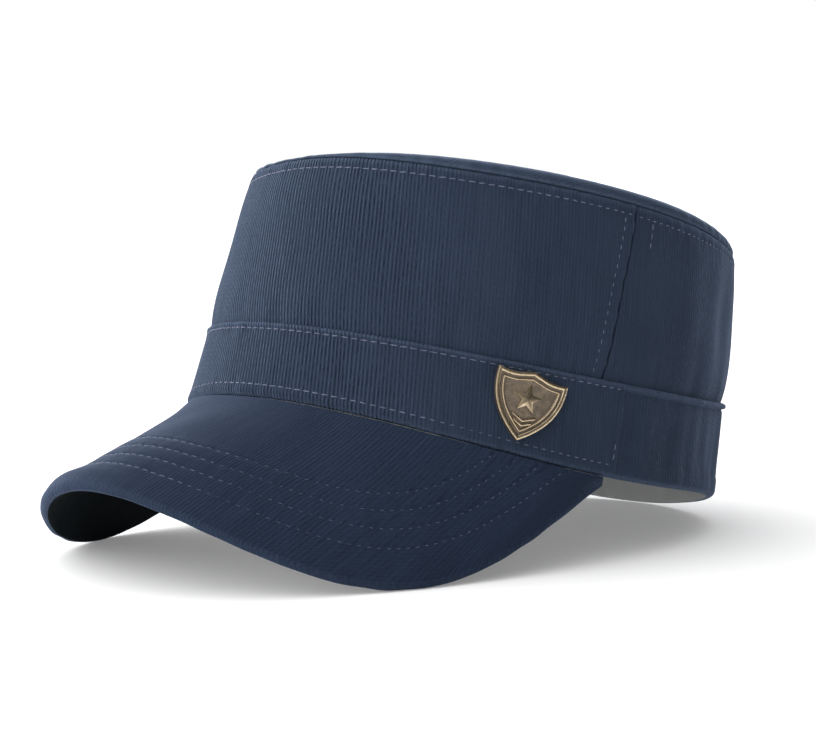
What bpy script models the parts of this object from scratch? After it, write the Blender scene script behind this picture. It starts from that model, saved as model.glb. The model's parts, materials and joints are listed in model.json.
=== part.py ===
"""A flat-topped cloth cadet cap with an arched visor, a band and a brass shield on the band.

Metres, +Z up. The wearer looks along -Y, and +X is the wearer's left. The cap stands on the floor
as it rests by itself: on the two low sides of the visor and on the back of its band.

Each piece is modelled in the cap's own frame, where the head opening lies level, and hangs under
one empty that leans the cap back into its resting pose. Angles round the cap run from 0 at the
front to 90 degrees at the wearer's left and 180 at the back.
"""
import math

import bmesh
import bpy
from mathutils import Matrix, Vector
from mathutils.geometry import delaunay_2d_cdt

# Head opening, at the outer face of the band
RIM_HALF_LENGTH = 0.1003
RIM_HALF_WIDTH = 0.0802
RIM_ARCH = 0.0018
RIM_SWEEP = 0.0016
RIM_RIPPLE = -0.0005

# Crown, which tapers to its top edge
TOP_HALF_LENGTH = 0.0909
TOP_HALF_WIDTH = 0.0753
TOP_SHIFT_BACK = 0.0015
CROWN_HEIGHT_FRONT = 0.0855
CROWN_HEIGHT_SIDE = 0.0894
CROWN_HEIGHT_BACK = 0.0869
EDGE_SAG = 0.0042
EDGE_SAG_ANGLE = -23.0
EDGE_SAG_SPREAD = 34.0
CROWN_BOW = 0.0016
CROWN_BOW_POWER = 4
CROWN_SEAM_FOOT_ANGLE = 75.5
CROWN_SEAM_TOP_ANGLE = 78.0
CLOTH_WALL = 0.0018
FOLD_DEPTH = 0.0016

# Top panel
TOP_ROLL = 0.0058
TOP_ROLL_LOW = 0.0022
TOP_ROLL_LOW_ANGLE = -6.5
TOP_ROLL_LOW_SPREAD = 35.0
TOP_ROLL_REACH = 0.0090
TOP_DOME = 0.0025
TOP_FLAT_RADIUS = 0.020

# Band
BAND_TOP_FRONT = 0.0265
BAND_TOP_SIDE = 0.0277
BAND_TOP_BACK = 0.0385
BAND_PROUD = 0.0009
BAND_SEAM_ANGLE = 81.5
WELT_WIDTH = 0.0022
WELT_PROUD = 0.0010

# Visor
VISOR_END_ANGLE = 81.0
VISOR_LENGTH = 0.0995
VISOR_FRONT_REACH = 0.0210
VISOR_TIP_REACH = 0.0194
VISOR_FLARE = 0.0376
VISOR_FALL = 0.0765
VISOR_ARCH = 0.0024
VISOR_ARCH_FRONT = 0.0434
VISOR_CAMBER = 0.0017
VISOR_CAMBER_SKEW = 1.7
VISOR_TOP_WALL = 0.0018
VISOR_UNDER_WALL = 0.0012
VISOR_EDGE_ROUND = 0.0012
VISOR_SWEEP_ANGLE = 87.5
VISOR_MARGIN = 0.0045
VISOR_THIN_LENGTH = 0.0100

# Badge and its pin
BADGE_ANGLE = 59.3
BADGE_LIFT = 0.0010
BADGE_TURN = 6.0
BADGE_WIDTH = 0.0236
BADGE_HEIGHT = 0.0218
BADGE_PLATE = 0.0016
BADGE_RELIEF = 0.0007
BADGE_BORDER = 0.0013
BADGE_GROOVE = 0.0008
BADGE_LINE = 0.0006
SHIELD_PEAK = 0.0012
SHIELD_FULLNESS = 2.6
SHIELD_STRAIGHT = 0.24
STAR_RADIUS = 0.0046
STAR_LIFT = 0.0021
CHEVRON_COUNT = 2
CHEVRON_HALF_WIDTH = 0.0039
CHEVRON_LOW = 0.0025
CHEVRON_DROP = 0.0017
CHEVRON_WEIGHT = 0.0009
CHEVRON_PITCH = 0.0018
PIN_RADIUS = 0.0010
CLUTCH_RADIUS = 0.0050
CLUTCH_THICKNESS = 0.0012

# Space left between pieces that touch
GAP = 0.0003

# How finely the surfaces are divided
AROUND_STEPS = 26
WALL_STEPS = 7
BAND_STEPS = 4
VISOR_AROUND_STEPS = 36
VISOR_OUT_STEPS = 7
ROLL_STEPS = 5
DOME_STEPS = 5
BADGE_STRIP = 0.0030
SHIELD_SIDE_STEPS = 7
PIN_SIDES = 12

# Soft folds of the crown: where each lies, how far it spreads, and its depth as a share of FOLD_DEPTH
FOLDS = [
    {"angle": 88, "height": 0.50, "spread_angle": 5, "spread_height": 0.60, "depth": 0.45},
    {"angle": 118, "height": 0.55, "spread_angle": 7, "spread_height": 0.45, "depth": 0.80},
    {"angle": 138, "height": 0.30, "spread_angle": 9, "spread_height": 0.35, "depth": -0.45},
    {"angle": 160, "height": 0.60, "spread_angle": 10, "spread_height": 0.40, "depth": 0.60},
    {"angle": -92, "height": 0.45, "spread_angle": 6, "spread_height": 0.50, "depth": 0.50},
    {"angle": -125, "height": 0.55, "spread_angle": 9, "spread_height": 0.45, "depth": 0.85},
    {"angle": -155, "height": 0.35, "spread_angle": 8, "spread_height": 0.40, "depth": -0.40},
    {"angle": -40, "height": 0.55, "spread_angle": 12, "spread_height": 0.40, "depth": 0.40},
]

NAVY = (0.022, 0.042, 0.105, 1.0)
NAVY_DARK = (0.010, 0.016, 0.030, 1.0)
BRASS = (0.330, 0.240, 0.120, 1.0)
STEEL = (0.550, 0.550, 0.560, 1.0)


def clear_scene():
    for thing in list(bpy.data.objects):
        bpy.data.objects.remove(thing, do_unlink=True)


def three_way(front, side, back, angle):
    """A height that passes smoothly through its front, side and back values."""
    mean = (front + back) / 2
    level = (mean + side) / 2
    return level + (front - back) / 2 * math.cos(angle) + (mean - side) / 2 * math.cos(2 * angle)


def rim_height(angle):
    wave = RIM_ARCH * math.cos(2 * angle) + RIM_SWEEP * math.cos(3 * angle)
    return wave + RIM_RIPPLE * math.cos(4 * angle)


def band_height(angle):
    return three_way(BAND_TOP_FRONT, BAND_TOP_SIDE, BAND_TOP_BACK, angle)


def swell(angle, middle, spread_degrees):
    """A smooth hump round the cap: 1 at its middle, and nearly 0 at twice its spread from there."""
    turn = (math.degrees(angle) - middle + 180) % 360 - 180
    return math.exp(-(turn / spread_degrees) ** 2)


def crown_height(angle):
    level = three_way(CROWN_HEIGHT_FRONT, CROWN_HEIGHT_SIDE, CROWN_HEIGHT_BACK, angle)
    return level - EDGE_SAG * swell(angle, EDGE_SAG_ANGLE, EDGE_SAG_SPREAD)


def roll_height(angle):
    """How far the top panel's rolled edge stands over the seam. It is pressed flatter at the front."""
    return TOP_ROLL + (TOP_ROLL_LOW - TOP_ROLL) * swell(angle, TOP_ROLL_LOW_ANGLE, TOP_ROLL_LOW_SPREAD)


def seam_height(angle):
    """Where the crown ends and the top panel's rolled edge begins."""
    return crown_height(angle) - roll_height(angle)


def fold_depth(angle, share):
    """How far the crown's cloth dips in at a place, from the table of folds."""
    total = 0.0
    for fold in FOLDS:
        along = ((share - fold["height"]) / fold["spread_height"]) ** 2
        total += fold["depth"] * swell(angle, fold["angle"], fold["spread_angle"]) * math.exp(-along)
    return FOLD_DEPTH * total * max(0.0, math.sin(math.pi * share))


def wall_point(angle, height, inset):
    """A point of the cap's side, at an angle and height, set inwards from the band's outer face."""
    share = height / CROWN_HEIGHT_SIDE
    half_width = RIM_HALF_WIDTH + (TOP_HALF_WIDTH - RIM_HALF_WIDTH) * share - inset
    half_length = RIM_HALF_LENGTH + (TOP_HALF_LENGTH - RIM_HALF_LENGTH) * share - inset
    return Vector((half_width * math.sin(angle),
                   -half_length * math.cos(angle) + TOP_SHIFT_BACK * share,
                   height))


def crown_point(angle, share, inset):
    """A point of the crown: share runs from 0 at the band's top edge to 1 at the top seam."""
    low = band_height(angle) + GAP
    high = seam_height(angle) - GAP
    bow = CROWN_BOW * (1 - abs(2 * share - 1) ** CROWN_BOW_POWER)
    depth = BAND_PROUD + inset + fold_depth(angle, share) - bow
    return wall_point(angle, low + (high - low) * share, depth)


def lip_point(turn):
    """A point of the visor's outer edge: turn runs from -90 to 90 degrees, 0 at the front."""
    end = math.radians(VISOR_END_ANGLE)
    root = wall_point(end, rim_height(end), 0.0)
    front = math.cos(turn)
    flare = 1 + VISOR_FLARE / RIM_HALF_WIDTH * front ** 2
    reach = VISOR_LENGTH * front + VISOR_FRONT_REACH * front ** 3 + VISOR_TIP_REACH * front ** 5
    fall = VISOR_FALL * front - VISOR_ARCH * front ** 3 - VISOR_ARCH_FRONT * front ** 5
    return Vector((math.sin(turn) * root.x * flare,
                   root.y - reach,
                   root.z - fall))


def visor_point(turn, out):
    """A point of the visor's upper face: out runs from 0 under the band to 1 at the lip."""
    angle = math.radians(VISOR_END_ANGLE) * turn / math.radians(90)
    root = wall_point(angle, rim_height(angle) - GAP, 0.0)
    point = root.lerp(lip_point(turn), out)
    point.z += VISOR_CAMBER * math.sin(math.pi * out ** VISOR_CAMBER_SKEW) * math.cos(turn)
    return point


def visor_normal(turn, out):
    """The direction straight out of the visor's upper face."""
    step = 0.002
    low = min(max(out - step, 0.0), 1 - 2 * step)
    along = visor_point(turn, low + 2 * step) - visor_point(turn, low)
    across = visor_point(turn + step, out) - visor_point(turn - step, out)
    return along.cross(across).normalized()


def visor_thinning(turn):
    """The share of its thickness that the visor keeps as it runs out towards its ends."""
    length = (lip_point(turn) - visor_point(turn, 0.0)).length
    return min(1.0, length / VISOR_THIN_LENGTH)


def band_inset():
    """The band's inner face, flush with the crown's inner face."""
    return BAND_PROUD + CLOTH_WALL


def spread(first, last, count):
    """Evenly spaced values from first to last, both included."""
    return [first + (last - first) * step / count for step in range(count + 1)]


def new_object(name, mesh, colour, roughness, metallic, parent):
    material = bpy.data.materials.new(name + "_material")
    material.use_nodes = True
    shader = material.node_tree.nodes["Principled BSDF"]
    shader.inputs["Base Color"].default_value = colour
    shader.inputs["Roughness"].default_value = roughness
    shader.inputs["Metallic"].default_value = metallic
    material.diffuse_color = colour
    mesh.materials.append(material)
    thing = bpy.data.objects.new(name, mesh)
    bpy.context.collection.objects.link(thing)
    thing.parent = parent
    return thing


def finish_mesh(name, work, sharp_degrees):
    """Turns the working mesh into a closed mesh with its faces pointing out."""
    bmesh.ops.recalc_face_normals(work, faces=work.faces)
    if work.calc_volume(signed=True) < 0:
        bmesh.ops.reverse_faces(work, faces=work.faces)
    mesh = bpy.data.meshes.new(name)
    work.to_mesh(mesh)
    work.free()
    mesh.shade_smooth()
    mesh.set_sharp_from_angle(angle=math.radians(sharp_degrees))
    return mesh


def sheet_mesh(name, outer, inner):
    """A closed wall between two grids of points, each a list of rows with equal columns."""
    work = bmesh.new()
    faces = []
    for grid in (outer, inner):
        verts = [[work.verts.new(point) for point in row] for row in grid]
        for low, high in zip(verts, verts[1:]):
            for column in range(len(low) - 1):
                work.faces.new((low[column], low[column + 1], high[column + 1], high[column]))
        faces.append(verts)
    front, back = faces
    for row in (0, -1):
        for column in range(len(front[row]) - 1):
            work.faces.new((front[row][column], front[row][column + 1],
                            back[row][column + 1], back[row][column]))
    for column in (0, -1):
        rim = [row[column] for row in front] + [row[column] for row in reversed(back)]
        work.faces.new(rim)
    return finish_mesh(name, work, 50)


def seam_angle(share):
    """The crown's side seam, which leans a little from foot to top."""
    return math.radians(CROWN_SEAM_FOOT_ANGLE + (CROWN_SEAM_TOP_ANGLE - CROWN_SEAM_FOOT_ANGLE) * share)


def half_gap_angle():
    return GAP / 2 / RIM_HALF_WIDTH


def crown_grid(is_front, inset):
    rows = []
    for share in spread(0.0, 1.0, WALL_STEPS):
        if is_front:
            reach = seam_angle(share) - half_gap_angle()
            angles = spread(-reach, reach, AROUND_STEPS)
        else:
            reach = math.pi - seam_angle(share) - half_gap_angle()
            angles = spread(math.pi - reach, math.pi + reach, AROUND_STEPS)
        rows.append([crown_point(angle, share, inset) for angle in angles])
    return rows


def make_crown(parent):
    for name, is_front in (("crown_front", True), ("crown_back", False)):
        mesh = sheet_mesh(name, crown_grid(is_front, 0.0), crown_grid(is_front, CLOTH_WALL))
        new_object(name, mesh, NAVY, 0.85, 0.0, parent)


def top_point(angle, radius_share, lower):
    """A point of the top panel's flat part, from 0 at its middle to 1 where the roll begins."""
    middle = (crown_height(0.0) + crown_height(math.pi)) / 2
    edge = wall_point(angle, crown_height(angle), BAND_PROUD + TOP_ROLL_REACH)
    centre = Vector((0.0, TOP_SHIFT_BACK, 0.0))
    flat_share = TOP_FLAT_RADIUS / TOP_HALF_WIDTH
    slope = max(0.0, (radius_share - flat_share) / (1 - flat_share))
    rise = TOP_DOME * (1 - slope ** 2)
    height = middle + (edge.z - middle) * slope ** 2 + rise - lower
    return Vector((centre.x + (edge.x - centre.x) * radius_share,
                   centre.y + (edge.y - centre.y) * radius_share, height))


def top_rows(lower):
    """Rows of the top panel from its seam, over the roll and in to the flat middle."""
    angles = spread(0.0, 2 * math.pi, 2 * AROUND_STEPS)[:-1]
    rows = []
    for lean in spread(0.0, math.pi / 2, ROLL_STEPS):
        row = []
        for angle in angles:
            inset = BAND_PROUD + lower + (TOP_ROLL_REACH - lower) * (1 - math.cos(lean))
            height = seam_height(angle) + (roll_height(angle) - lower) * math.sin(lean)
            row.append(wall_point(angle, height, inset))
        rows.append(row)
    flat_share = TOP_FLAT_RADIUS / TOP_HALF_WIDTH
    for share in spread(1.0, flat_share, DOME_STEPS)[1:]:
        rows.append([top_point(angle, share, lower) for angle in angles])
    return rows


def make_top_panel(parent):
    work = bmesh.new()
    grids = []
    for lower in (0.0, CLOTH_WALL):
        verts = [[work.verts.new(point) for point in row] for row in top_rows(lower)]
        count = len(verts[0])
        for low, high in zip(verts, verts[1:]):
            for column in range(count):
                after = (column + 1) % count
                work.faces.new((low[column], low[after], high[after], high[column]))
        work.faces.new(verts[-1])
        grids.append(verts)
    outer, inner = grids[0][0], grids[1][0]
    for column in range(len(outer)):
        after = (column + 1) % len(outer)
        work.faces.new((outer[column], outer[after], inner[after], inner[column]))
    new_object("top_panel", finish_mesh("top_panel", work, 50), NAVY, 0.85, 0.0, parent)


def band_angles(is_front):
    seam = math.radians(BAND_SEAM_ANGLE)
    reach = (seam if is_front else math.pi - seam) - half_gap_angle()
    middle = 0.0 if is_front else math.pi
    return spread(middle - reach, middle + reach, AROUND_STEPS)


def band_front_rows(inset):
    shares = spread(0.0, 1.0, BAND_STEPS)
    return [[wall_point(angle, rim_height(angle) + (band_height(angle) - rim_height(angle)) * share, inset)
             for angle in band_angles(True)] for share in shares]


def band_back_rows(inset, welt):
    """Rows of the back band. The welt is the rolled cord of cloth along its top edge."""
    rows = []
    levels = [(share, 0.0, 0.0) for share in spread(0.0, 1.0, BAND_STEPS)]
    levels += [(1.0, 0.35 * WELT_WIDTH, 0.9 * welt), (1.0, 0.7 * WELT_WIDTH, welt)]
    levels += [(1.0, WELT_WIDTH, 0.2 * welt)]
    for share, above, proud in levels:
        row = []
        for angle in band_angles(False):
            low = rim_height(angle)
            foot = band_height(angle) - WELT_WIDTH
            row.append(wall_point(angle, low + (foot - low) * share + above, inset - proud))
        rows.append(row)
    return rows


def make_bands(parent):
    front = sheet_mesh("band_front", band_front_rows(0.0), band_front_rows(band_inset()))
    band = new_object("band_front", front, NAVY, 0.85, 0.0, parent)
    back = sheet_mesh("band_back", band_back_rows(0.0, WELT_PROUD), band_back_rows(band_inset(), 0.0))
    new_object("band_back", back, NAVY, 0.85, 0.0, parent)
    return band


def visor_turns():
    reach = math.radians(VISOR_SWEEP_ANGLE)
    return spread(-reach, reach, VISOR_AROUND_STEPS)


def visor_rows(walls_above, gaps_above, edge):
    """Rows of one face of the visor from its margin under the band to the lip.

    The face lies under the given thickness of wall and of gap, counted from the upper face.
    """
    rows = [[], []]
    up = Vector((0.0, 0.0, 1.0))
    for turn in visor_turns():
        depth = walls_above * visor_thinning(turn) + gaps_above
        angle = math.radians(VISOR_END_ANGLE) * turn / math.radians(90)
        margin = wall_point(angle, rim_height(angle) - GAP, VISOR_MARGIN)
        rows[0].append(margin - up * depth)
        face = visor_normal(turn, 0.0)
        corner = (up + face).normalized()
        rows[1].append(visor_point(turn, 0.0) - corner * depth / corner.dot(face))
    for out in spread(0.0, 1.0, VISOR_OUT_STEPS)[1:]:
        row = []
        for turn in visor_turns():
            depth = walls_above * visor_thinning(turn) + gaps_above
            length = (lip_point(turn) - visor_point(turn, 0.0)).length
            near = min(out, 1 - edge * visor_thinning(turn) / length)
            row.append(visor_point(turn, near) - visor_normal(turn, near) * depth)
        rows.append(row)
    return rows


def make_visor(parent):
    both = VISOR_TOP_WALL + VISOR_UNDER_WALL
    upper = visor_rows(0.0, 0.0, VISOR_EDGE_ROUND)
    top = sheet_mesh("visor_top", upper, visor_rows(VISOR_TOP_WALL, 0.0, 0.0))
    new_object("visor_top", top, NAVY, 0.85, 0.0, parent)
    lower = visor_rows(both, GAP, VISOR_EDGE_ROUND)
    lining = sheet_mesh("visor_underside", visor_rows(VISOR_TOP_WALL, GAP, 0.0), lower)
    new_object("visor_underside", lining, NAVY_DARK, 0.9, 0.0, parent)


def shield_outline():
    """The shield's edge, clockwise from the small peak in the middle of its top."""
    half = BADGE_WIDTH / 2
    high = BADGE_HEIGHT / 2
    shoulder = high - SHIELD_PEAK
    right = [Vector((half * 0.34, shoulder)), Vector((half * 0.66, shoulder - SHIELD_PEAK * 0.3))]
    for share in [0.0] + spread(SHIELD_STRAIGHT, 1.0, SHIELD_SIDE_STEPS)[:-1]:
        width = half * (1 - share ** SHIELD_FULLNESS)
        right.append(Vector((width, shoulder - (shoulder + high) * share)))
    left = [Vector((-point.x, point.y)) for point in reversed(right)]
    return [Vector((0.0, high))] + right + [Vector((0.0, -high))] + left


def drawn_in(outline, distance):
    """The same clockwise outline, moved inwards by a distance."""
    result = []
    count = len(outline)
    for k in range(count):
        before = (outline[k] - outline[k - 1]).normalized()
        after = (outline[(k + 1) % count] - outline[k]).normalized()
        inwards = Vector((before.y + after.y, -before.x - after.x)).normalized()
        result.append(outline[k] + inwards * distance / inwards.dot(Vector((after.y, -after.x))))
    return result


def star_outline():
    points = []
    for step in range(10):
        radius = STAR_RADIUS if step % 2 == 0 else STAR_RADIUS * 0.42
        turn = math.radians(36 * step)
        points.append(Vector((radius * math.sin(turn), STAR_LIFT + radius * math.cos(turn))))
    return points


def chevron_outline(order):
    size = 1 - 0.22 * order
    top = -CHEVRON_LOW - order * CHEVRON_PITCH
    half = CHEVRON_HALF_WIDTH * size
    dip = top - CHEVRON_DROP * size
    corners = [(-half, top), (0.0, dip), (half, top)]
    corners += [(x, y - CHEVRON_WEIGHT) for x, y in reversed(corners)]
    return [Vector(corner) for corner in corners]


def inside(point, outline):
    """Whether a point lies inside a closed outline."""
    result = False
    for one, two in zip(outline, outline[1:] + outline[:1]):
        crosses = (one.y > point.y) != (two.y > point.y)
        if crosses and point.x < (two.x - one.x) * (point.y - one.y) / (two.y - one.y) + one.x:
            result = not result
    return result


def badge_plan():
    """The badge's outlines laid flat and cut into strips, with the raised faces marked."""
    outer = shield_outline()
    border = drawn_in(outer, BADGE_BORDER)
    line_outer = drawn_in(outer, BADGE_BORDER + BADGE_GROOVE)
    line_inner = drawn_in(outer, BADGE_BORDER + BADGE_GROOVE + BADGE_LINE)
    motifs = [star_outline()] + [chevron_outline(order) for order in range(CHEVRON_COUNT)]
    points = []
    edges = []
    for outline in [outer, border, line_outer, line_inner] + motifs:
        first = len(points)
        points += outline
        edges += [(first + k, first + (k + 1) % len(outline)) for k in range(len(outline))]
    strips = math.ceil(BADGE_WIDTH / BADGE_STRIP)
    for x in spread(-BADGE_WIDTH / 2, BADGE_WIDTH / 2, strips)[1:-1]:
        edges.append((len(points), len(points) + 1))
        points += [Vector((x, -BADGE_HEIGHT)), Vector((x, BADGE_HEIGHT))]
    verts, _, faces, _, _, _ = delaunay_2d_cdt(points, edges, [], 0, 1e-6)
    kept = []
    for face in faces:
        middle = sum((verts[k] for k in face), Vector((0.0, 0.0))) / len(face)
        if inside(middle, outer):
            raised = not inside(middle, border)
            raised = raised or (inside(middle, line_outer) and not inside(middle, line_inner))
            raised = raised or any(inside(middle, motif) for motif in motifs)
            kept.append((face, raised))
    return verts, kept


def badge_place(x, y, depth):
    """A point over the band's outer face: depth outwards, and x to the back and y up before the badge's turn."""
    angle = math.radians(BADGE_ANGLE)
    height = (rim_height(angle) + band_height(angle)) / 2 + BADGE_LIFT
    step = 0.001
    ahead = wall_point(angle + step, height, 0.0)
    behind = wall_point(angle - step, height, 0.0)
    pace = (ahead - behind).length / (2 * step)
    turn = math.radians(BADGE_TURN)
    along = x * math.cos(turn) + y * math.sin(turn)
    up = y * math.cos(turn) - x * math.sin(turn)
    return wall_point(angle + along / pace, height + up, -depth)


def make_badge(parent):
    """The cast shield: a bent plate whose border, line, star and chevrons stand up from its field."""
    plan, faces = badge_plan()
    work = bmesh.new()
    made = {}
    levels = {"back": GAP, "field": GAP + BADGE_PLATE, "raised": GAP + BADGE_PLATE + BADGE_RELIEF}

    def corner(k, level):
        if (k, level) not in made:
            made[k, level] = work.verts.new(badge_place(plan[k].x, plan[k].y, levels[level]))
        return made[k, level]

    sides = {}
    for face, raised in faces:
        level = "raised" if raised else "field"
        work.faces.new([corner(k, level) for k in face])
        work.faces.new([corner(k, "back") for k in reversed(face)])
        for one, two in zip(face, face[1:] + face[:1]):
            sides.setdefault((min(one, two), max(one, two)), []).append(level)
    for (one, two), found in sides.items():
        found = found + ["back"] if len(found) == 1 else found
        if found[0] != found[1]:
            work.faces.new((corner(one, found[0]), corner(two, found[0]),
                            corner(two, found[1]), corner(one, found[1])))
    new_object("badge", finish_mesh("badge", work, 30), BRASS, 0.4, 1.0, parent)


def turned_mesh(name, profile):
    """A closed body turned about the badge's axis from rows of radius and depth."""
    work = bmesh.new()
    rings = []
    for radius, depth in profile:
        turns = spread(0.0, 2 * math.pi, PIN_SIDES)[:-1]
        ring = [badge_place(radius * math.cos(turn), radius * math.sin(turn), depth) for turn in turns]
        rings.append([work.verts.new(point) for point in ring])
    for low, high in zip(rings, rings[1:]):
        for k in range(PIN_SIDES):
            after = (k + 1) % PIN_SIDES
            work.faces.new((low[k], low[after], high[after], high[k]))
    work.faces.new(rings[0])
    work.faces.new(rings[-1])
    return finish_mesh(name, work, 30)


def make_pin(parent, band):
    """The badge's post with its clutch, and the hole that the post needs in the front band."""
    clutch = -band_inset() - GAP
    profile = [(PIN_RADIUS, 0.0), (PIN_RADIUS, clutch), (CLUTCH_RADIUS, clutch),
               (CLUTCH_RADIUS, clutch - CLUTCH_THICKNESS)]
    new_object("badge_pin", turned_mesh("badge_pin", profile), STEEL, 0.35, 1.0, parent)
    hole = PIN_RADIUS + GAP
    cutter_mesh = turned_mesh("pin_hole", [(hole, CLOTH_WALL), (hole, -band_inset() - CLOTH_WALL)])
    cutter = bpy.data.objects.new("pin_hole", cutter_mesh)
    bpy.context.collection.objects.link(cutter)
    cutter.parent = parent
    cutter.hide_render = True
    cutter.display_type = "WIRE"
    cut = band.modifiers.new("pin_hole", "BOOLEAN")
    cut.operation = "DIFFERENCE"
    cut.solver = "EXACT"
    cut.object = cutter


def lowest(things, turn):
    return min((turn @ vert.co).z for thing in things for vert in thing.data.vertices)


def lean_angle(pieces):
    """The lean at which the visor and the back of the band reach the floor together."""
    visor = [piece for piece in pieces if piece.name.startswith("visor")]
    band = [piece for piece in pieces if piece.name.startswith("band")]
    low, high = 0.0, math.radians(40)
    for _ in range(40):
        lean = (low + high) / 2
        turn = Matrix.Rotation(-lean, 3, "X")
        if lowest(visor, turn) < lowest(band, turn):
            low = lean
        else:
            high = lean
    return lean


def rest_on_floor(frame, pieces):
    """Leans the cap into its resting pose, with the middle of its box over the origin."""
    lean = lean_angle(pieces)
    turn = Matrix.Rotation(-lean, 3, "X")
    points = [turn @ vert.co for piece in pieces for vert in piece.data.vertices]
    middle = [(min(point[axis] for point in points) + max(point[axis] for point in points)) / 2
              for axis in range(2)]
    frame.rotation_euler = (-lean, 0.0, 0.0)
    frame.location = (-middle[0], -middle[1], -min(point.z for point in points))


def main():
    clear_scene()
    frame = bpy.data.objects.new("cap_frame", None)
    bpy.context.collection.objects.link(frame)
    make_crown(frame)
    make_top_panel(frame)
    band = make_bands(frame)
    make_visor(frame)
    make_badge(frame)
    make_pin(frame, band)
    pieces = [thing for thing in bpy.data.objects if thing.type == "MESH" and not thing.hide_render]
    rest_on_floor(frame, pieces)


main()
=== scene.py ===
"""Looks of the cloth cadet cap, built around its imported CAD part.

Metres, in the part's frame. Each piece is shaped in the cap's own frame, where the head opening lies level,
and is then leaned back as the CAD is; the lean and the place come from the record's flat face on the crown.
Angles round the cap run from 0 at the front to 90 degrees at the wearer's left and 180 at the back.
"""
import json
import math

import bmesh
import bpy
import numpy as np
from mathutils import Matrix, Vector


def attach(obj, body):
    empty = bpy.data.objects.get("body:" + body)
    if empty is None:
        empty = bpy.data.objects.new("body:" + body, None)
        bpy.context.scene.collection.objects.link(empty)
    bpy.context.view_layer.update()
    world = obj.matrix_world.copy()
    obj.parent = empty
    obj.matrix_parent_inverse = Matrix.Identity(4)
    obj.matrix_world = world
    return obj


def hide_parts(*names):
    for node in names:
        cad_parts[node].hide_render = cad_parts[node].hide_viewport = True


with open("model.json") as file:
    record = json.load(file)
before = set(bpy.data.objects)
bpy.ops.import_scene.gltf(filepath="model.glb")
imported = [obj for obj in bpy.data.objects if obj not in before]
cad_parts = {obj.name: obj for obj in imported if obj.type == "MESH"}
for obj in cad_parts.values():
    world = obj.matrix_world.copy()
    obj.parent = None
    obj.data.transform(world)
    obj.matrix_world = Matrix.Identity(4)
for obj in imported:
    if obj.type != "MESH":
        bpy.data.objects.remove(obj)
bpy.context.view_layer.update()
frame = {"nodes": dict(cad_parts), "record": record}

MM = 0.001
GAP = 0.0003

# Sizes of the CAD part
RIM_HALF_LENGTH = 0.1003
RIM_HALF_WIDTH = 0.0802
RIM_ARCH = 0.0018
RIM_SWEEP = 0.0016
RIM_RIPPLE = -0.0005
TOP_HALF_LENGTH = 0.0909
TOP_HALF_WIDTH = 0.0753
TOP_SHIFT_BACK = 0.0015
CROWN_HEIGHT_FRONT = 0.0855
CROWN_HEIGHT_SIDE = 0.0894
CROWN_HEIGHT_BACK = 0.0869
EDGE_SAG = 0.0042
EDGE_SAG_ANGLE = -23.0
EDGE_SAG_SPREAD = 34.0
CROWN_BOW = 0.0016
CROWN_BOW_POWER = 4
CROWN_SEAM_FOOT_ANGLE = 75.5
CROWN_SEAM_TOP_ANGLE = 78.0
CLOTH_WALL = 0.0018
FOLD_DEPTH = 0.0016
TOP_ROLL = 0.0058
TOP_ROLL_LOW = 0.0022
TOP_ROLL_LOW_ANGLE = -6.5
TOP_ROLL_LOW_SPREAD = 35.0
TOP_ROLL_REACH = 0.0090
TOP_DOME = 0.0025
TOP_FLAT_RADIUS = 0.020
BAND_TOP_FRONT = 0.0265
BAND_TOP_SIDE = 0.0277
BAND_TOP_BACK = 0.0385
BAND_PROUD = 0.0009
BAND_SEAM_ANGLE = 81.5
WELT_WIDTH = 0.0022
WELT_PROUD = 0.0010
VISOR_END_ANGLE = 81.0
VISOR_LENGTH = 0.0995
VISOR_FRONT_REACH = 0.0210
VISOR_TIP_REACH = 0.0194
VISOR_FLARE = 0.0376
VISOR_FALL = 0.0765
VISOR_ARCH = 0.0024
VISOR_ARCH_FRONT = 0.0434
VISOR_CAMBER = 0.0017
VISOR_CAMBER_SKEW = 1.7
VISOR_TOP_WALL = 0.0018
VISOR_UNDER_WALL = 0.0012
VISOR_WHOLE = VISOR_TOP_WALL + VISOR_UNDER_WALL + GAP
VISOR_SWEEP_ANGLE = 87.5
VISOR_MARGIN = 0.0045
VISOR_THIN_LENGTH = 0.0100
BADGE_ANGLE = 59.3
BADGE_LIFT = 0.0010
BADGE_TURN = 6.0
BADGE_WIDTH = 0.0236
BADGE_HEIGHT = 0.0218
BADGE_PLATE = 0.0016
BADGE_RELIEF = 0.0007
SHIELD_PEAK = 0.0012
SHIELD_FULLNESS = 2.6
STAR_RADIUS = 0.0046
STAR_WAIST = 0.42
CHEVRON_SHRINK = 0.22
STAR_LIFT = 0.0021
CHEVRON_HALF_WIDTH = 0.0039
CHEVRON_LOW = 0.0025
CHEVRON_DROP = 0.0017
CHEVRON_WEIGHT = 0.0009
CHEVRON_PITCH = 0.0018

# Soft folds of the crown, as in the CAD: angle, height share, the spread of both, and depth
FOLDS = [
    (88, 0.50, 5, 0.60, 0.45),
    (118, 0.55, 7, 0.45, 0.80),
    (138, 0.30, 9, 0.35, -0.45),
    (160, 0.60, 10, 0.40, 0.60),
    (-92, 0.45, 6, 0.50, 0.50),
    (-125, 0.55, 9, 0.45, 0.85),
    (-155, 0.35, 8, 0.40, -0.40),
    (-40, 0.55, 12, 0.40, 0.40),
]

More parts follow.
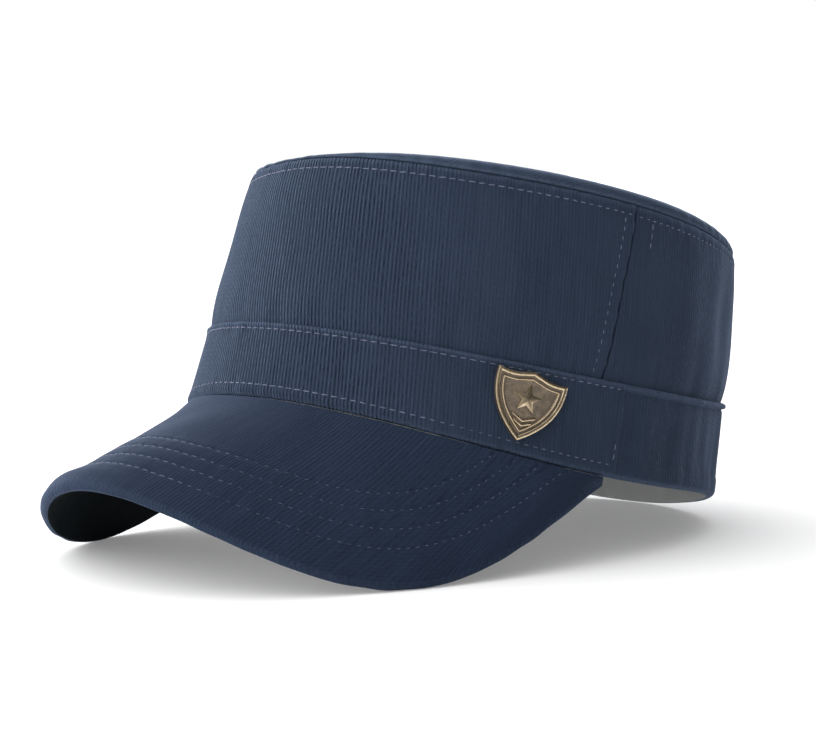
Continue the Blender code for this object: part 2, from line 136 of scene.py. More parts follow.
# Details that only the looks have
SEAM_ROUND = 0.0008
FOLD_ROUND = 0.0009
HEM_ROUND = 0.0013
END_ROUND = 0.0004
ROLL_BULGE = 0.0005
SEAM_LIFT = 0.00022
GROOVE_DEPTH = 0.00026
GROOVE_WIDTH = 0.0006
PUCKER = 0.00016
PUCKER_REACH = 0.0065
UNEVEN = 0.00022
SEAM_VALLEY = 0.0005
# Width of the seam's valley, and of the painted shade that darkens the cloth along the seams
SEAM_VALLEY_AND_SHADE_WIDTH = 0.0004
HEM_CURL = 0.0007
BACK_FOLD = 0.00032
TOP_ROW = 0.0034
SIDE_ROW = 0.0042
TACK_BEHIND = 0.0085
TACK_LENGTH = 0.0100
BAND_TOP_ROW = 0.0020
BAND_FOOT_ROW = 0.0038
HEM_STEP = 0.0060
VISOR_ROWS = (0.0114, 0.0177, 0.0240, 0.0303)
QUILT = 0.00022
RIM_TURN = 145.0
# Painted highlight along the top of the top panel's roll: its strength, the lean where it is brightest, and
# its spread
ROLL_HIGHLIGHT = 0.90
ROLL_HIGHLIGHT_LEAN = 1.00
ROLL_HIGHLIGHT_SPREAD = 0.38
LIP_PUFF = 0.0020
LIP_PUFF_ANGLE = -15.0
LIP_PUFF_SPREAD = 16.0
LIP_PUFF_INWARDS = 0.0055
LIP_PUFF_WIDTH = 0.0050
RIM_INSIDE = 0.00035
FOOT_TUCK = 0.0004
STITCH_PITCH = 0.0031
STITCH_LENGTH = 0.0026
THREAD_RADIUS = 0.00017
THREAD_ARCH = 0.00025
THREAD_DIP = 0.00017
STITCH_SUNK = 0.00019
RIB_LEAN = 0.17
BAND_END_ROW = 0.0065
TUCKED_SHARE = -0.018

# Round sizes of the pieces, which only set how they are divided and where their rows begin
CROWN_RISE = 0.056
BAND_RISE = 0.032
BAND_END_RISE = 0.026
VISOR_DEPTH = 0.07

# How finely the cloth is divided
FINE = 0.00058
VISOR_FINE = 0.00066
LIP_FINE = 0.00075
COARSE = 0.0045
ROUND_STEPS = 5

# The studio light: the direction that it comes from most, its greatest strength, and how steeply it fades
LIGHT_SIDE = (-0.893, -0.417, -0.170)
LIGHT_LEVEL = 4.05
LIGHT_POWER = 1.31

MOUNT = frame["record"]["mounts"][0]


# The cap's outline, from its named sizes

def three_way(front, side, back, angle):
    """A height that passes smoothly through its front, side and back values."""
    mean = (front + back) / 2
    level = (mean + side) / 2
    return level + (front - back) / 2 * np.cos(angle) + (mean - side) / 2 * np.cos(2 * angle)


def rim_height(angle):
    wave = RIM_ARCH * np.cos(2 * angle) + RIM_SWEEP * np.cos(3 * angle)
    return wave + RIM_RIPPLE * np.cos(4 * angle)


def band_height(angle):
    return three_way(BAND_TOP_FRONT, BAND_TOP_SIDE, BAND_TOP_BACK, angle)


def turned(degrees, from_degrees):
    """The turn from one angle to another, between -180 and 180 degrees."""
    return (degrees - from_degrees + 180) % 360 - 180


def bell(distance, width):
    """1 in the middle, and nearly 0 at twice the width from there."""
    return np.exp(-(distance / width) ** 2)


def swell(angle, middle, spread_degrees):
    """A smooth hump round the cap: 1 at its middle, and nearly 0 at twice its spread from there."""
    return bell(turned(np.degrees(angle), middle), spread_degrees)


def half_wave(share):
    """0 at a share of 0 and of 1, and 1 halfway."""
    return np.sin(np.pi * np.clip(share, 0, 1))


def crown_height(angle):
    level = three_way(CROWN_HEIGHT_FRONT, CROWN_HEIGHT_SIDE, CROWN_HEIGHT_BACK, angle)
    return level - EDGE_SAG * swell(angle, EDGE_SAG_ANGLE, EDGE_SAG_SPREAD)


def roll_height(angle):
    """How far the top panel's rolled edge stands over the seam. It is pressed flatter at the front."""
    return TOP_ROLL + (TOP_ROLL_LOW - TOP_ROLL) * swell(angle, TOP_ROLL_LOW_ANGLE, TOP_ROLL_LOW_SPREAD)


def seam_height(angle):
    return crown_height(angle) - roll_height(angle)


def fold_depth(angle, share):
    total = 0.0
    for middle, level, spread_angle, spread_height, depth in FOLDS:
        total = total + depth * swell(angle, middle, spread_angle) * bell(share - level, spread_height)
    return FOLD_DEPTH * total * half_wave(share)


def stacked(x, y, z):
    return np.stack(np.broadcast_arrays(x, y, z), axis=-1)


def wall(angle, height, inset):
    """Points of the cap's side, set inwards from the band's outer face."""
    share = height / CROWN_HEIGHT_SIDE
    half_width = RIM_HALF_WIDTH + (TOP_HALF_WIDTH - RIM_HALF_WIDTH) * share - inset
    half_length = RIM_HALF_LENGTH + (TOP_HALF_LENGTH - RIM_HALF_LENGTH) * share - inset
    return stacked(half_width * np.sin(angle), TOP_SHIFT_BACK * share - half_length * np.cos(angle), height)


def unit(vectors):
    return vectors / np.linalg.norm(vectors, axis=-1, keepdims=True)


def running_length(points):
    """Distance from the first point along a row of points."""
    steps = np.linalg.norm(np.diff(points, axis=0), axis=-1)
    return np.concatenate([[0.0], np.cumsum(steps)])


ARC_ANGLES = np.linspace(-2 * np.pi, 2 * np.pi, 4001)
ARC_LENGTHS = running_length(wall(ARC_ANGLES, 0.5 * CROWN_HEIGHT_SIDE, 0.0))
ARC_LENGTHS = ARC_LENGTHS - np.interp(0.0, ARC_ANGLES, ARC_LENGTHS)


def arc(angle):
    """Distance round the cap from the middle of the front, at half its height."""
    return np.interp(angle, ARC_ANGLES, ARC_LENGTHS)


def arc_angle(length):
    return np.interp(length, ARC_LENGTHS, ARC_ANGLES)


# Small shapes that cloth takes

def edge_round(distance, radius):
    """How far a fold's face falls back close to its edge."""
    near = np.clip(distance, 0, radius)
    return radius - np.sqrt(np.maximum(radius ** 2 - (radius - near) ** 2, 0))


def fade(distance, end, softness):
    """1 close to an edge and 0 beyond a distance, with a soft change between them."""
    share = np.clip((distance - end) / softness + 0.5, 0, 1)
    return 1 - share * share * (3 - 2 * share)


def waver(along, size, seed):
    """Smooth unevenness along a line, between about -1 and 1, the same on each run."""
    draws = np.random.default_rng(seed)
    total = 0.0
    for _ in range(6):
        length = size * draws.uniform(0.6, 1.7)
        total = total + np.sin(2 * np.pi * (along / length + draws.uniform()))
    return total / 3.0


def unevenness(across, up, size, seed):
    """Smooth unevenness over a surface, between about -1 and 1, the same on each run."""
    draws = np.random.default_rng(seed)
    total = 0.0
    for _ in range(9):
        turn = draws.uniform(0, 2 * np.pi)
        length = size * draws.uniform(0.6, 1.8)
        place = (across * np.cos(turn) + up * np.sin(turn)) / length
        total = total + np.sin(2 * np.pi * (place + draws.uniform()))
    return total / 4.0


def sewn(distance, along, row, seed):
    """Depth of cloth beside a seam: raised over its allowance and drawn in along its stitches."""
    raised = SEAM_LIFT * fade(distance, row + 0.7 * MM, 1.2 * MM)
    groove = GROOVE_DEPTH * bell(distance - row, GROOVE_WIDTH)
    beat = 0.35 * groove * np.cos(2 * np.pi * along / STITCH_PITCH)
    pucker = PUCKER * waver(along, 0.008, seed) * bell(distance, PUCKER_REACH)
    return groove + beat + pucker - raised


# The faces of the sewn pieces

def side_seam_angle(share):
    return np.radians(CROWN_SEAM_FOOT_ANGLE + (CROWN_SEAM_TOP_ANGLE - CROWN_SEAM_FOOT_ANGLE) * share)


def from_side_seam(angle, seam):
    """Distance round the cap from a seam at both sides, positive towards the back."""
    around = np.abs(turned(np.degrees(angle), 0.0))
    return arc(np.radians(around)) - arc(seam)


def crown_span(angle):
    return seam_height(angle) - band_height(angle)


def crown_bow(share):
    return CROWN_BOW * (1 - np.abs(2 * np.clip(share, 0, 1) - 1) ** CROWN_BOW_POWER)


def crown_face(angle, share):
    """Outer face of the crown: share runs from 0 at the band's top edge to 1 at the top seam."""
    span = crown_span(angle)
    under_top = (1 - share) * span
    over_band = share * span
    along = arc(angle)
    side = from_side_seam(angle, side_seam_angle(share))
    depth = BAND_PROUD + fold_depth(angle, share) - crown_bow(share)
    depth = depth + edge_round(under_top, SEAM_ROUND) + edge_round(np.abs(side), SEAM_ROUND)
    depth = depth + sewn(under_top, along, TOP_ROW, 11)
    front = side <= 0
    depth = depth + np.where(front, sewn(np.abs(side), over_band, SIDE_ROW, 12), 0.0)
    depth = depth + np.where(front, -0.1 * MM, 0.25 * MM) * bell(side, 2.5 * MM)
    depth = depth + SEAM_VALLEY * bell(side, SEAM_VALLEY_AND_SHADE_WIDTH)
    behind = 1 - np.exp(-np.maximum(side, 0) / (8 * MM))
    depth = depth + BACK_FOLD * waver(along, 0.020, 15) * behind * half_wave(0.15 + 0.85 * share) ** 0.5
    depth = depth + PUCKER * waver(along, 0.012, 13) * bell(over_band, 0.010)
    depth = depth + UNEVEN * unevenness(along, over_band, 0.045, 14) * half_wave(share)
    return wall(angle, band_height(angle) + span * share, depth)


def band_measures(angle, share):
    """The height of the band's foot, its width, and the distances from its foot, its top and the front."""
    low = rim_height(angle)
    span = band_height(angle) - low
    return low, span, share * span, (1 - share) * span, arc(angle)


def band_front_face(angle, share):
    """Outer face of the front band, from 0 at its foot to 1 at its folded top edge."""
    low, span, over_foot, under_top, along = band_measures(angle, share)
    end = -from_side_seam(angle, np.radians(BAND_SEAM_ANGLE))
    depth = edge_round(under_top, FOLD_ROUND) + edge_round(over_foot, HEM_ROUND)
    depth = depth + edge_round(end, END_ROUND)
    depth = depth + sewn(under_top, along, BAND_TOP_ROW, 21) + sewn(over_foot, along, BAND_FOOT_ROW, 22)
    depth = depth - 0.25 * MM * bell(under_top, 1.4 * MM) + HEM_CURL * bell(over_foot, 1.2 * MM)
    depth = depth + 0.9 * UNEVEN * unevenness(along, over_foot, 0.030, 23)
    return wall(angle, low + span * share, depth)


def band_back_face(angle, share):
    """Outer face of the back band, from 0 at its foot to 1 at the top of its rolled welt."""
    low, span, over_foot, under_top, along = band_measures(angle, share)
    behind = from_side_seam(angle, np.radians(BAND_SEAM_ANGLE))
    half = WELT_WIDTH / 2
    valley = 0.5 * MM
    rise = np.sqrt(np.maximum(1 - ((under_top - half) / half) ** 2, 0))
    welt = valley - (WELT_PROUD + valley) * rise * (1 + 0.12 * waver(along, 0.010, 31))
    under_welt = valley * np.exp(-np.maximum(under_top - WELT_WIDTH, 0) / (0.5 * MM))
    depth = np.where(under_top < WELT_WIDTH, welt, under_welt) + edge_round(over_foot, HEM_ROUND)
    depth = depth + 0.15 * MM * (1 - 2 * fade(over_foot, HEM_STEP, 1.0 * MM)) - 0.10 * MM
    depth = depth + PUCKER * waver(along, 0.009, 32) * bell(over_foot - HEM_STEP, 0.004)
    depth = depth + 1.1 * UNEVEN * unevenness(along, over_foot, 0.035, 33)
    depth = depth + 0.30 * MM * np.exp(-np.maximum(behind, 0) / (2.5 * MM))
    depth = depth + HEM_CURL * bell(over_foot, 1.2 * MM)
    depth = depth + BACK_FOLD * waver(along, 0.017, 34) * half_wave(share) ** 0.5
    return wall(angle, low + span * share, depth)


def top_middle():
    return (crown_height(0.0) + crown_height(np.pi)) / 2


def top_flat(angle, radius_share):
    """The top panel's face inside its rolled edge, from 0 at its middle to 1 where the roll begins."""
    edge = wall(angle, crown_height(angle), BAND_PROUD + TOP_ROLL_REACH)
    flat_share = TOP_FLAT_RADIUS / TOP_HALF_WIDTH
    slope = np.maximum(0, (radius_share - flat_share) / (1 - flat_share)) ** 2
    height = top_middle() + (edge[..., 2] - top_middle()) * slope + TOP_DOME * (1 - slope)
    x = edge[..., 0] * radius_share
    y = TOP_SHIFT_BACK + (edge[..., 1] - TOP_SHIFT_BACK) * radius_share
    outer = 0.25 + 0.75 * slope
    height = height + 0.5 * MM * outer * unevenness(x, y, 0.060, 41)
    return stacked(x, y, height)


def top_roll(angle, lean):
    """The top panel's rolled edge, from a lean of 0 at its seam to 90 degrees at the flat part."""
    from_seam = roll_height(angle) * np.sin(lean)
    inset = BAND_PROUD + TOP_ROLL_REACH * (1 - np.cos(lean)) - ROLL_BULGE * np.sin(2 * lean) ** 2
    along = arc(angle)
    inset = inset + edge_round(from_seam, SEAM_ROUND) + 0.35 * MM * bell(from_seam, 0.9 * MM)
    inset = inset + 1.6 * PUCKER * waver(along, 0.009, 42) * np.cos(lean)
    height = seam_height(angle) + from_seam
    point = wall(angle, height, inset)
    flat = top_flat(angle, 1.0)
    blend = np.clip(np.degrees(lean) / 90, 0, 1) ** 4
    lift = (flat[..., 2] - crown_height(angle)) * blend
    return point + stacked(0.0, 0.0, lift)


def lip(turn):
    """The visor's outer edge: turn runs from -90 to 90 degrees, 0 at the front."""
    end = np.radians(VISOR_END_ANGLE)
    root = wall(end, rim_height(end), 0.0)
    front = np.cos(turn)
    flare = 1 + VISOR_FLARE / RIM_HALF_WIDTH * front ** 2
    reach = VISOR_LENGTH * front + VISOR_FRONT_REACH * front ** 3 + VISOR_TIP_REACH * front ** 5
    fall = VISOR_FALL * front - VISOR_ARCH * front ** 3 - VISOR_ARCH_FRONT * front ** 5
    return stacked(np.sin(turn) * root[0] * flare, root[1] - reach, root[2] - fall)


def root_angle(turn):
    """The angle round the cap at which a turn of the visor leaves the band."""
    return np.radians(VISOR_END_ANGLE) * turn / np.radians(90)


def visor_root(turn):
    angle = root_angle(turn)
    return wall(angle, rim_height(angle) - GAP, 0.0)


def visor_plain(turn, out):
    """The visor's upper face without its small details: out runs from 0 under the band to 1 at the lip."""
    root = visor_root(turn)
    point = root + (lip(turn) - root) * np.asarray(out)[..., None]
    camber = VISOR_CAMBER * np.sin(np.pi * np.clip(out, 0, 1) ** VISOR_CAMBER_SKEW) * np.cos(turn)
    return point + stacked(0.0, 0.0, camber)


def facing(surface, one, two):
    """The unit normal of a side surface, by its angle and its share of the height."""
    step = 0.002
    along = surface(one + step, two) - surface(one - step, two)
    up = surface(one, two + step) - surface(one, two - step)
    return unit(np.cross(along, up))


def visor_normal(turn, out):
    """The direction straight out of the visor's upper face."""
    return -facing(visor_plain, turn, np.clip(out, 0.004, 0.996))


def visor_reach(turn):
    """How far the visor reaches out from the band, square to its lip."""
    ruling = lip(turn) - visor_root(turn)
    tangent = unit(lip(turn + MM) - lip(turn - MM))
    along = np.sum(ruling * tangent, axis=-1)
    return np.sqrt(np.maximum(np.sum(ruling ** 2, axis=-1) - along ** 2, 1e-12))


def visor_thinning(turn):
    length = np.linalg.norm(lip(turn) - visor_root(turn), axis=-1)
    return np.minimum(1.0, length / VISOR_THIN_LENGTH)


LIP_TURNS = np.linspace(-np.pi / 2, np.pi / 2, 1801)
LIP_LENGTHS = running_length(lip(LIP_TURNS))


def lip_length(turn):
    return np.interp(turn, LIP_TURNS, LIP_LENGTHS)


def visor_detail(turn, inwards):
    """Depth of the visor's small details, by the distance inwards from the lip."""
    along = lip_length(turn)
    first, last = VISOR_ROWS[0], VISOR_ROWS[-1]
    depth = 0.0
    for k, row in enumerate(VISOR_ROWS):
        depth = depth + 1.1 * GROOVE_DEPTH * bell(inwards - row, 1.4 * GROOVE_WIDTH)
        depth = depth + 0.5 * PUCKER * waver(along, 0.009, 51 + k) * bell(inwards - row, 3 * MM)
    between = fade(np.abs(inwards - (first + last) / 2), (last - first) / 2 + 1.5 * MM, 4 * MM)
    depth = depth - QUILT * between
    puff = LIP_PUFF * bell(np.degrees(turn) - LIP_PUFF_ANGLE, LIP_PUFF_SPREAD)
    depth = depth - puff * bell(inwards - LIP_PUFF_INWARDS, LIP_PUFF_WIDTH)
    return depth + UNEVEN * unevenness(along, inwards, 0.040, 56)


def visor_face(turn, out):
    inwards = (1 - out) * visor_reach(turn)
    normal = visor_normal(turn, out)
    return visor_plain(turn, out) - normal * visor_detail(turn, inwards)[..., None]


# From the cap's own frame into the part's frame

def cap_pose():
    """The lean of the cap and the place of its frame, from the record's flat face on the crown."""
    axis = MOUNT["axis"]
    lean = math.atan2(axis[1], axis[2])
    turn = np.array([[1, 0, 0], [0, math.cos(lean), math.sin(lean)], [0, -math.sin(lean), math.cos(lean)]])
    middle = np.array([0.0, TOP_SHIFT_BACK, float(top_middle()) + TOP_DOME])
    return turn, np.array(MOUNT["pos_m"]) - turn @ middle


CAP_TURN, CAP_PLACE = cap_pose()


def in_part_frame(points):
    return points @ CAP_TURN.T + CAP_PLACE


# Making meshes

def divisions(length, step, low_round=0.0, high_round=0.0):
    """Places from 0 to 1 along a length, closer together over a rounded edge at either end."""
    curve = 1 - np.cos(np.linspace(0, np.pi / 2, ROUND_STEPS + 1))
    count = max(2, round((length - low_round - high_round) / step))
    places = np.linspace(low_round, length - high_round, count + 1)
    if low_round:
        places = np.concatenate([low_round * curve[:-1], places])
    if high_round:
        places = np.concatenate([places, length - high_round * curve[:-1][::-1]])
    return places / length


def grid_faces(first, rows, columns, closed):
    index = first + np.arange(rows * columns).reshape(rows, columns)
    after = np.roll(index, -1, axis=1)
    if not closed:
        index, after = index[:, :-1], after[:, :-1]
    quads = np.stack([index[:-1], after[:-1], after[1:], index[1:]], axis=-1)
    return quads.reshape(-1, 4).tolist()


def zipped(one, two):
    """Triangles and no gaps between two rows of vertices that may differ in number."""
    faces = []
    i = j = 0
    last_i, last_j = len(one) - 1, len(two) - 1
    while i < last_i or j < last_j:
        if j == last_j or (i < last_i and (i + 1) * last_j <= (j + 1) * last_i):
            faces.append((one[i], one[i + 1], two[j]))
            i += 1
        else:
            faces.append((one[i], two[j + 1], two[j]))
            j += 1
    return faces


def solid_mesh(name, points, faces, sharp_degrees):
    """A closed mesh with its faces pointing out, from points in the cap's own frame."""
    mesh = bpy.data.meshes.new(name)
    mesh.from_pydata(in_part_frame(points).tolist(), [], faces)
    work = bmesh.new()
    work.from_mesh(mesh)
    bmesh.ops.recalc_face_normals(work, faces=work.faces)
    if work.calc_volume(signed=True) < 0:
        bmesh.ops.reverse_faces(work, faces=work.faces)
    work.to_mesh(mesh)
    work.free()
    mesh.shade_smooth()
    mesh.set_sharp_from_angle(angle=math.radians(sharp_degrees))
    return mesh


def add_piece(name, mesh, materials, replaced=()):
    for material in materials:
        mesh.materials.append(material)
    piece = bpy.data.objects.new(name, mesh)
    bpy.context.scene.collection.objects.link(piece)
    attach(piece, "root")
    if replaced:
        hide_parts(*replaced)
    return piece


def add_values(mesh, name, kind, values):
    field = "vector" if kind == "FLOAT_VECTOR" else "value"
    attribute = mesh.attributes.new(name, kind, "POINT")
    attribute.data.foreach_set(field, np.asarray(values, dtype=np.float32).ravel())


def sheet_mesh(name, outer, inner, closed=False):
    """A cloth wall between a finely divided face and a coarse one, which takes the second material."""
    points = np.concatenate([outer["points"].reshape(-1, 3), inner["points"].reshape(-1, 3)])
    fine_rows, fine_columns = outer["points"].shape[:2]
    rows, columns = inner["points"].shape[:2]
    first = fine_rows * fine_columns
    fine = np.arange(first).reshape(fine_rows, fine_columns)
    coarse = first + np.arange(rows * columns).reshape(rows, columns)
    faces = grid_faces(0, fine_rows, fine_columns, closed)
    shown = len(faces)
    faces += grid_faces(first, rows, columns, closed)
    hidden = len(faces)
    if closed:
        faces += zipped([*fine[0], fine[0][0]], [*coarse[0], coarse[0][0]])
        faces += [fine[-1].tolist(), coarse[-1].tolist()]
    else:
        for edge in ((0, slice(None)), (-1, slice(None)), (slice(None), 0), (slice(None), -1)):
            faces += zipped(fine[edge].tolist(), coarse[edge].tolist())
    faces = [[int(k) for k in face] for face in faces]
    mesh = solid_mesh(name, points, faces, 60)
    cloth = np.concatenate([outer["cloth"].reshape(-1, 3), inner["cloth"].reshape(-1, 3)])
    wear_and_painted_light = np.concatenate([outer["wear_and_painted_light"].ravel(), np.zeros(rows * columns)])
    add_values(mesh, "cloth", "FLOAT_VECTOR", cloth)
    add_values(mesh, "wear_and_painted_light", "FLOAT", wear_and_painted_light)
    back = np.zeros(len(faces), dtype=np.int32)
    back[shown:hidden] = 1
    if closed:
        back[-1] = 1
    mesh.polygons.foreach_set("material_index", back)
    return mesh


def worn(*distances):
    """How worn cloth is close to its folded edges."""
    total = 0.0
    for distance in distances:
        total = total + bell(np.abs(distance) - 0.7 * MM, 0.7 * MM)
    return np.clip(total, 0, 1)


def wall_cloth(angle, height):
    """Cloth places on the cap's side, along and up. Its ribs stay parallel and lean forwards a little."""
    share = height / CROWN_HEIGHT_SIDE - 0.5
    narrowing = 1 + share * (TOP_HALF_WIDTH / RIM_HALF_WIDTH - 1)
    return stacked(arc(angle) * narrowing + RIB_LEAN * height, height, 0.0)


def seam_to_seam(seam, is_front):
    """Distance round the front or the back, between the seams at both sides."""
    return 2 * float(arc(seam)) if is_front else 2 * float(arc(np.pi) - arc(seam))


def sheet(points, cloth, wear_and_painted_light=0.0):
    """A grid of points with its places on the cloth and one value for fraying and painted light: above 0
    for worn edges and a painted highlight, below 0 for painted shade along a seam.
    """
    return {"points": points, "cloth": cloth, "wear_and_painted_light": wear_and_painted_light + np.zeros(points.shape[:2])}


def crown_grid(is_front, inside):
    share = divisions(CROWN_RISE, COARSE) if inside else divisions(CROWN_RISE, FINE, 0.0, SEAM_ROUND)
    share = np.concatenate([[TUCKED_SHARE], share, [1.001]])
    seam = side_seam_angle(share)[:, None]
    reach = seam if is_front else np.pi - seam
    middle = 0.0 if is_front else np.pi
    length = seam_to_seam(seam[0, 0], is_front)
    place = divisions(length, COARSE) if inside else divisions(length, FINE, SEAM_ROUND, SEAM_ROUND)
    angle = middle + (reach + 0.1 * MM / RIM_HALF_WIDTH) * (2 * place[None, :] - 1)
    share = np.broadcast_to(share[:, None], angle.shape)
    height = band_height(angle) + crown_span(angle) * share
    if inside:
        depth = BAND_PROUD + CLOTH_WALL + fold_depth(angle, share) - crown_bow(share)
        depth = depth - FOOT_TUCK * (share < 0)
        points = wall(angle, height, depth)
    else:
        points = crown_face(angle, share)
    side = from_side_seam(angle, side_seam_angle(share))
    under_top = (1 - share) * crown_span(angle)
    wear_and_painted_light = np.maximum(0.6 * worn(under_top), 0.15 * worn(side))
    # Painted shade: the cloth is darkened along the side seam and under the top seam, where their crevices
    # are in shade
    wear_and_painted_light = wear_and_painted_light - 0.9 * bell(side, SEAM_VALLEY_AND_SHADE_WIDTH) - 0.5 * bell(under_top, SEAM_VALLEY_AND_SHADE_WIDTH)
    return sheet(points, wall_cloth(angle, height), wear_and_painted_light)


def band_grid(is_front, inside):
    seam = np.radians(BAND_SEAM_ANGLE)
    middle = 0.0 if is_front else np.pi
    length = seam_to_seam(seam, is_front)
    tuck = 0.0 if is_front else -1.5 * MM
    if inside:
        share = divisions(BAND_RISE, COARSE)
        place = divisions(length, COARSE)
    elif is_front:
        share = divisions(BAND_RISE, FINE, HEM_ROUND, FOLD_ROUND)
        place = divisions(length, FINE, END_ROUND, END_ROUND)
    else:
        welt = WELT_WIDTH / BAND_RISE
        below = divisions(BAND_RISE - WELT_WIDTH, FINE, HEM_ROUND, 0.0) * (1 - welt)
        over = 1 - welt * (0.5 + 0.5 * np.cos(np.linspace(0, np.pi, 13)))[1:]
        share = np.concatenate([below, over])
        place = divisions(length, FINE)
    reach = (seam if is_front else np.pi - seam) - tuck / RIM_HALF_WIDTH
    angle = middle + reach * (2 * place[None, :] - 1)
    angle, share = np.broadcast_arrays(angle, share[:, None])
    low = rim_height(angle)
    height = low + (band_height(angle) - low) * share
    if inside:
        points = wall(angle, height, BAND_PROUD + CLOTH_WALL)
    else:
        points = (band_front_face if is_front else band_back_face)(angle, share)
    under_top = (1 - share) * BAND_RISE
    end = from_side_seam(angle, seam)
    edges = worn(under_top - (0.0 if is_front else 0.4 * MM), share * BAND_RISE)
    wear_and_painted_light = np.maximum(0.8 * edges, 0.1 * worn(end) if is_front else 0.0)
    return sheet(points, wall_cloth(angle, height), wear_and_painted_light)


def top_grid(inside):
    around = 120 if inside else 560
    angle = np.linspace(0, 2 * np.pi, around, endpoint=False)[None, :]
    if inside:
        lean = np.linspace(0, np.pi / 2, 5)[:, None]
        share = np.linspace(1, 0.05, 12)[1:, None]
        inset = BAND_PROUD + CLOTH_WALL + (TOP_ROLL_REACH - CLOTH_WALL) * (1 - np.cos(lean))
        height = seam_height(angle) + (roll_height(angle) - CLOTH_WALL) * np.sin(lean)
        roll = wall(angle + 0 * lean, height, inset)
        flat = top_flat(*np.broadcast_arrays(angle, share)) - np.array([0, 0, CLOTH_WALL])
    else:
        lean = np.concatenate([np.arcsin(divisions(TOP_ROLL, 1.0, SEAM_ROUND, 0.0)[:-2]),
                               np.linspace(0.165, np.pi / 2, 15)])[:, None]
        share = np.linspace(1, 0.03, 56)[1:, None]
        roll = top_roll(*np.broadcast_arrays(angle, lean))
        roll[0] -= np.array([0, 0, 0.1 * MM])
        flat = top_flat(*np.broadcast_arrays(angle, share))
    points = np.concatenate([roll, flat])
    rows = len(points)
    outward = np.stack([np.sin(angle), -np.cos(angle)], axis=-1)
    edge = roll[-1:, :, :2]
    around = np.linalg.norm(np.diff(roll, axis=0), axis=-1)
    past = np.concatenate([np.cumsum(around[::-1], axis=0)[::-1], np.zeros((1, roll.shape[1]))])[..., None]
    plan = np.concatenate([edge + outward * past, flat[..., :2]])
    cloth = np.concatenate([plan, np.zeros((rows, plan.shape[1], 1))], axis=-1)
    wear_and_painted_light = np.zeros(points.shape[:2])
    over_seam = roll_height(angle) * np.sin(lean)
    # The roll's values: worn cloth at the seam's fold, a painted highlight along the top of the roll where
    # light from above falls, and painted shade along the seam beneath it
    brightened = ROLL_HIGHLIGHT * bell(lean - ROLL_HIGHLIGHT_LEAN, ROLL_HIGHLIGHT_SPREAD)
    wear_and_painted_light[:len(roll)] = 0.5 * worn(over_seam) + brightened - 0.8 * bell(over_seam, SEAM_VALLEY_AND_SHADE_WIDTH)
    return sheet(points, cloth, wear_and_painted_light)


def visor_cloth(points):
    """Cloth places on the visor: across its arch, and from the band to the lip."""
    across = np.cumsum(np.linalg.norm(np.diff(points[..., [0, 2]], axis=1), axis=-1), axis=1)
    across = np.concatenate([np.zeros((len(points), 1)), across], axis=1)
    across = across - across[:, [across.shape[1] // 2]]
    return stacked(across, -points[..., 1], 0.0)


def visor_turns(inside):
    reach = np.radians(VISOR_SWEEP_ANGLE)
    length = float(lip_length(reach) - lip_length(-reach))
    count = round(length / (COARSE if inside else LIP_FINE)) + 1
    lengths = np.linspace(lip_length(-reach), lip_length(reach), count)
    return np.interp(lengths, LIP_LENGTHS, LIP_TURNS)[None, :]


def margin_row(turn, depth):
    angle = root_angle(turn)
    height = rim_height(angle) - GAP - depth
    return wall(angle, height, VISOR_MARGIN)


def visor_layer(turn, out, depth):
    """Rows of a plain face of the visor at a depth under its upper face, with its margin under the band."""
    grid_turn, grid_out = np.broadcast_arrays(turn, out)
    normal = visor_normal(grid_turn, grid_out)
    deep = (depth * visor_thinning(grid_turn))[..., None]
    rows = visor_plain(grid_turn, grid_out) - normal * deep
    return np.concatenate([margin_row(turn, deep[0, :, 0]), rows])


def rim_row(turn, radius, angle, uneven):
    """A row along the visor's round rim, from an angle of 0 on its upper face to 180 degrees under it."""
    normal = visor_normal(turn, np.full_like(turn, 0.99))
    away = radius - radius * np.sin(angle) * uneven
    deep = radius - radius * np.cos(angle) + visor_detail(turn, radius) * (1 - angle / np.pi)
    return visor_plain(turn, 1 - away / visor_reach(turn)) - normal * deep[..., None]


def visor_top_grid(inside):
    turn = visor_turns(inside)
    reach = visor_reach(turn)
    thin = visor_thinning(turn)
    radius = VISOR_WHOLE / 2 * thin
    if inside:
        out = np.linspace(0, 1, 14)[:, None] * (1 - RIM_INSIDE * thin / reach)
        points = visor_layer(turn, np.maximum(out, 0), VISOR_TOP_WALL)
        return sheet(points, visor_cloth(points))
    end = np.maximum(1 - radius / reach, 0)
    out = divisions(VISOR_DEPTH, VISOR_FINE)[:, None] * end
    grid_turn, grid_out = np.broadcast_arrays(turn, out)
    upper = visor_face(grid_turn, grid_out)
    rows = [margin_row(turn, 0.0), upper]
    uneven = 1 + 0.05 * waver(lip_length(turn), 0.014, 61)
    for angle in np.linspace(0, np.radians(RIM_TURN), 14)[1:]:
        rows.append(rim_row(turn, radius, angle, uneven))
    points = np.concatenate(rows)
    cloth = visor_cloth(points)
    around = running_length(points[:, points.shape[1] // 2])
    first = 1 + len(upper)
    cloth[first:, :, 1] = cloth[first - 1, :, 1] + (around[first:] - around[first - 1])[:, None]
    upper_inwards = (1 - out[:, 0]) * float(reach[0, reach.shape[1] // 2])
    inwards = np.concatenate([[VISOR_DEPTH], upper_inwards, np.zeros(len(points) - first)])
    wear_and_painted_light = 0.25 * bell(inwards - 1.0 * MM, 1.6 * MM)[:, None]
    wear_and_painted_light[first + 7:] *= 0.3
    return sheet(points, cloth, wear_and_painted_light)


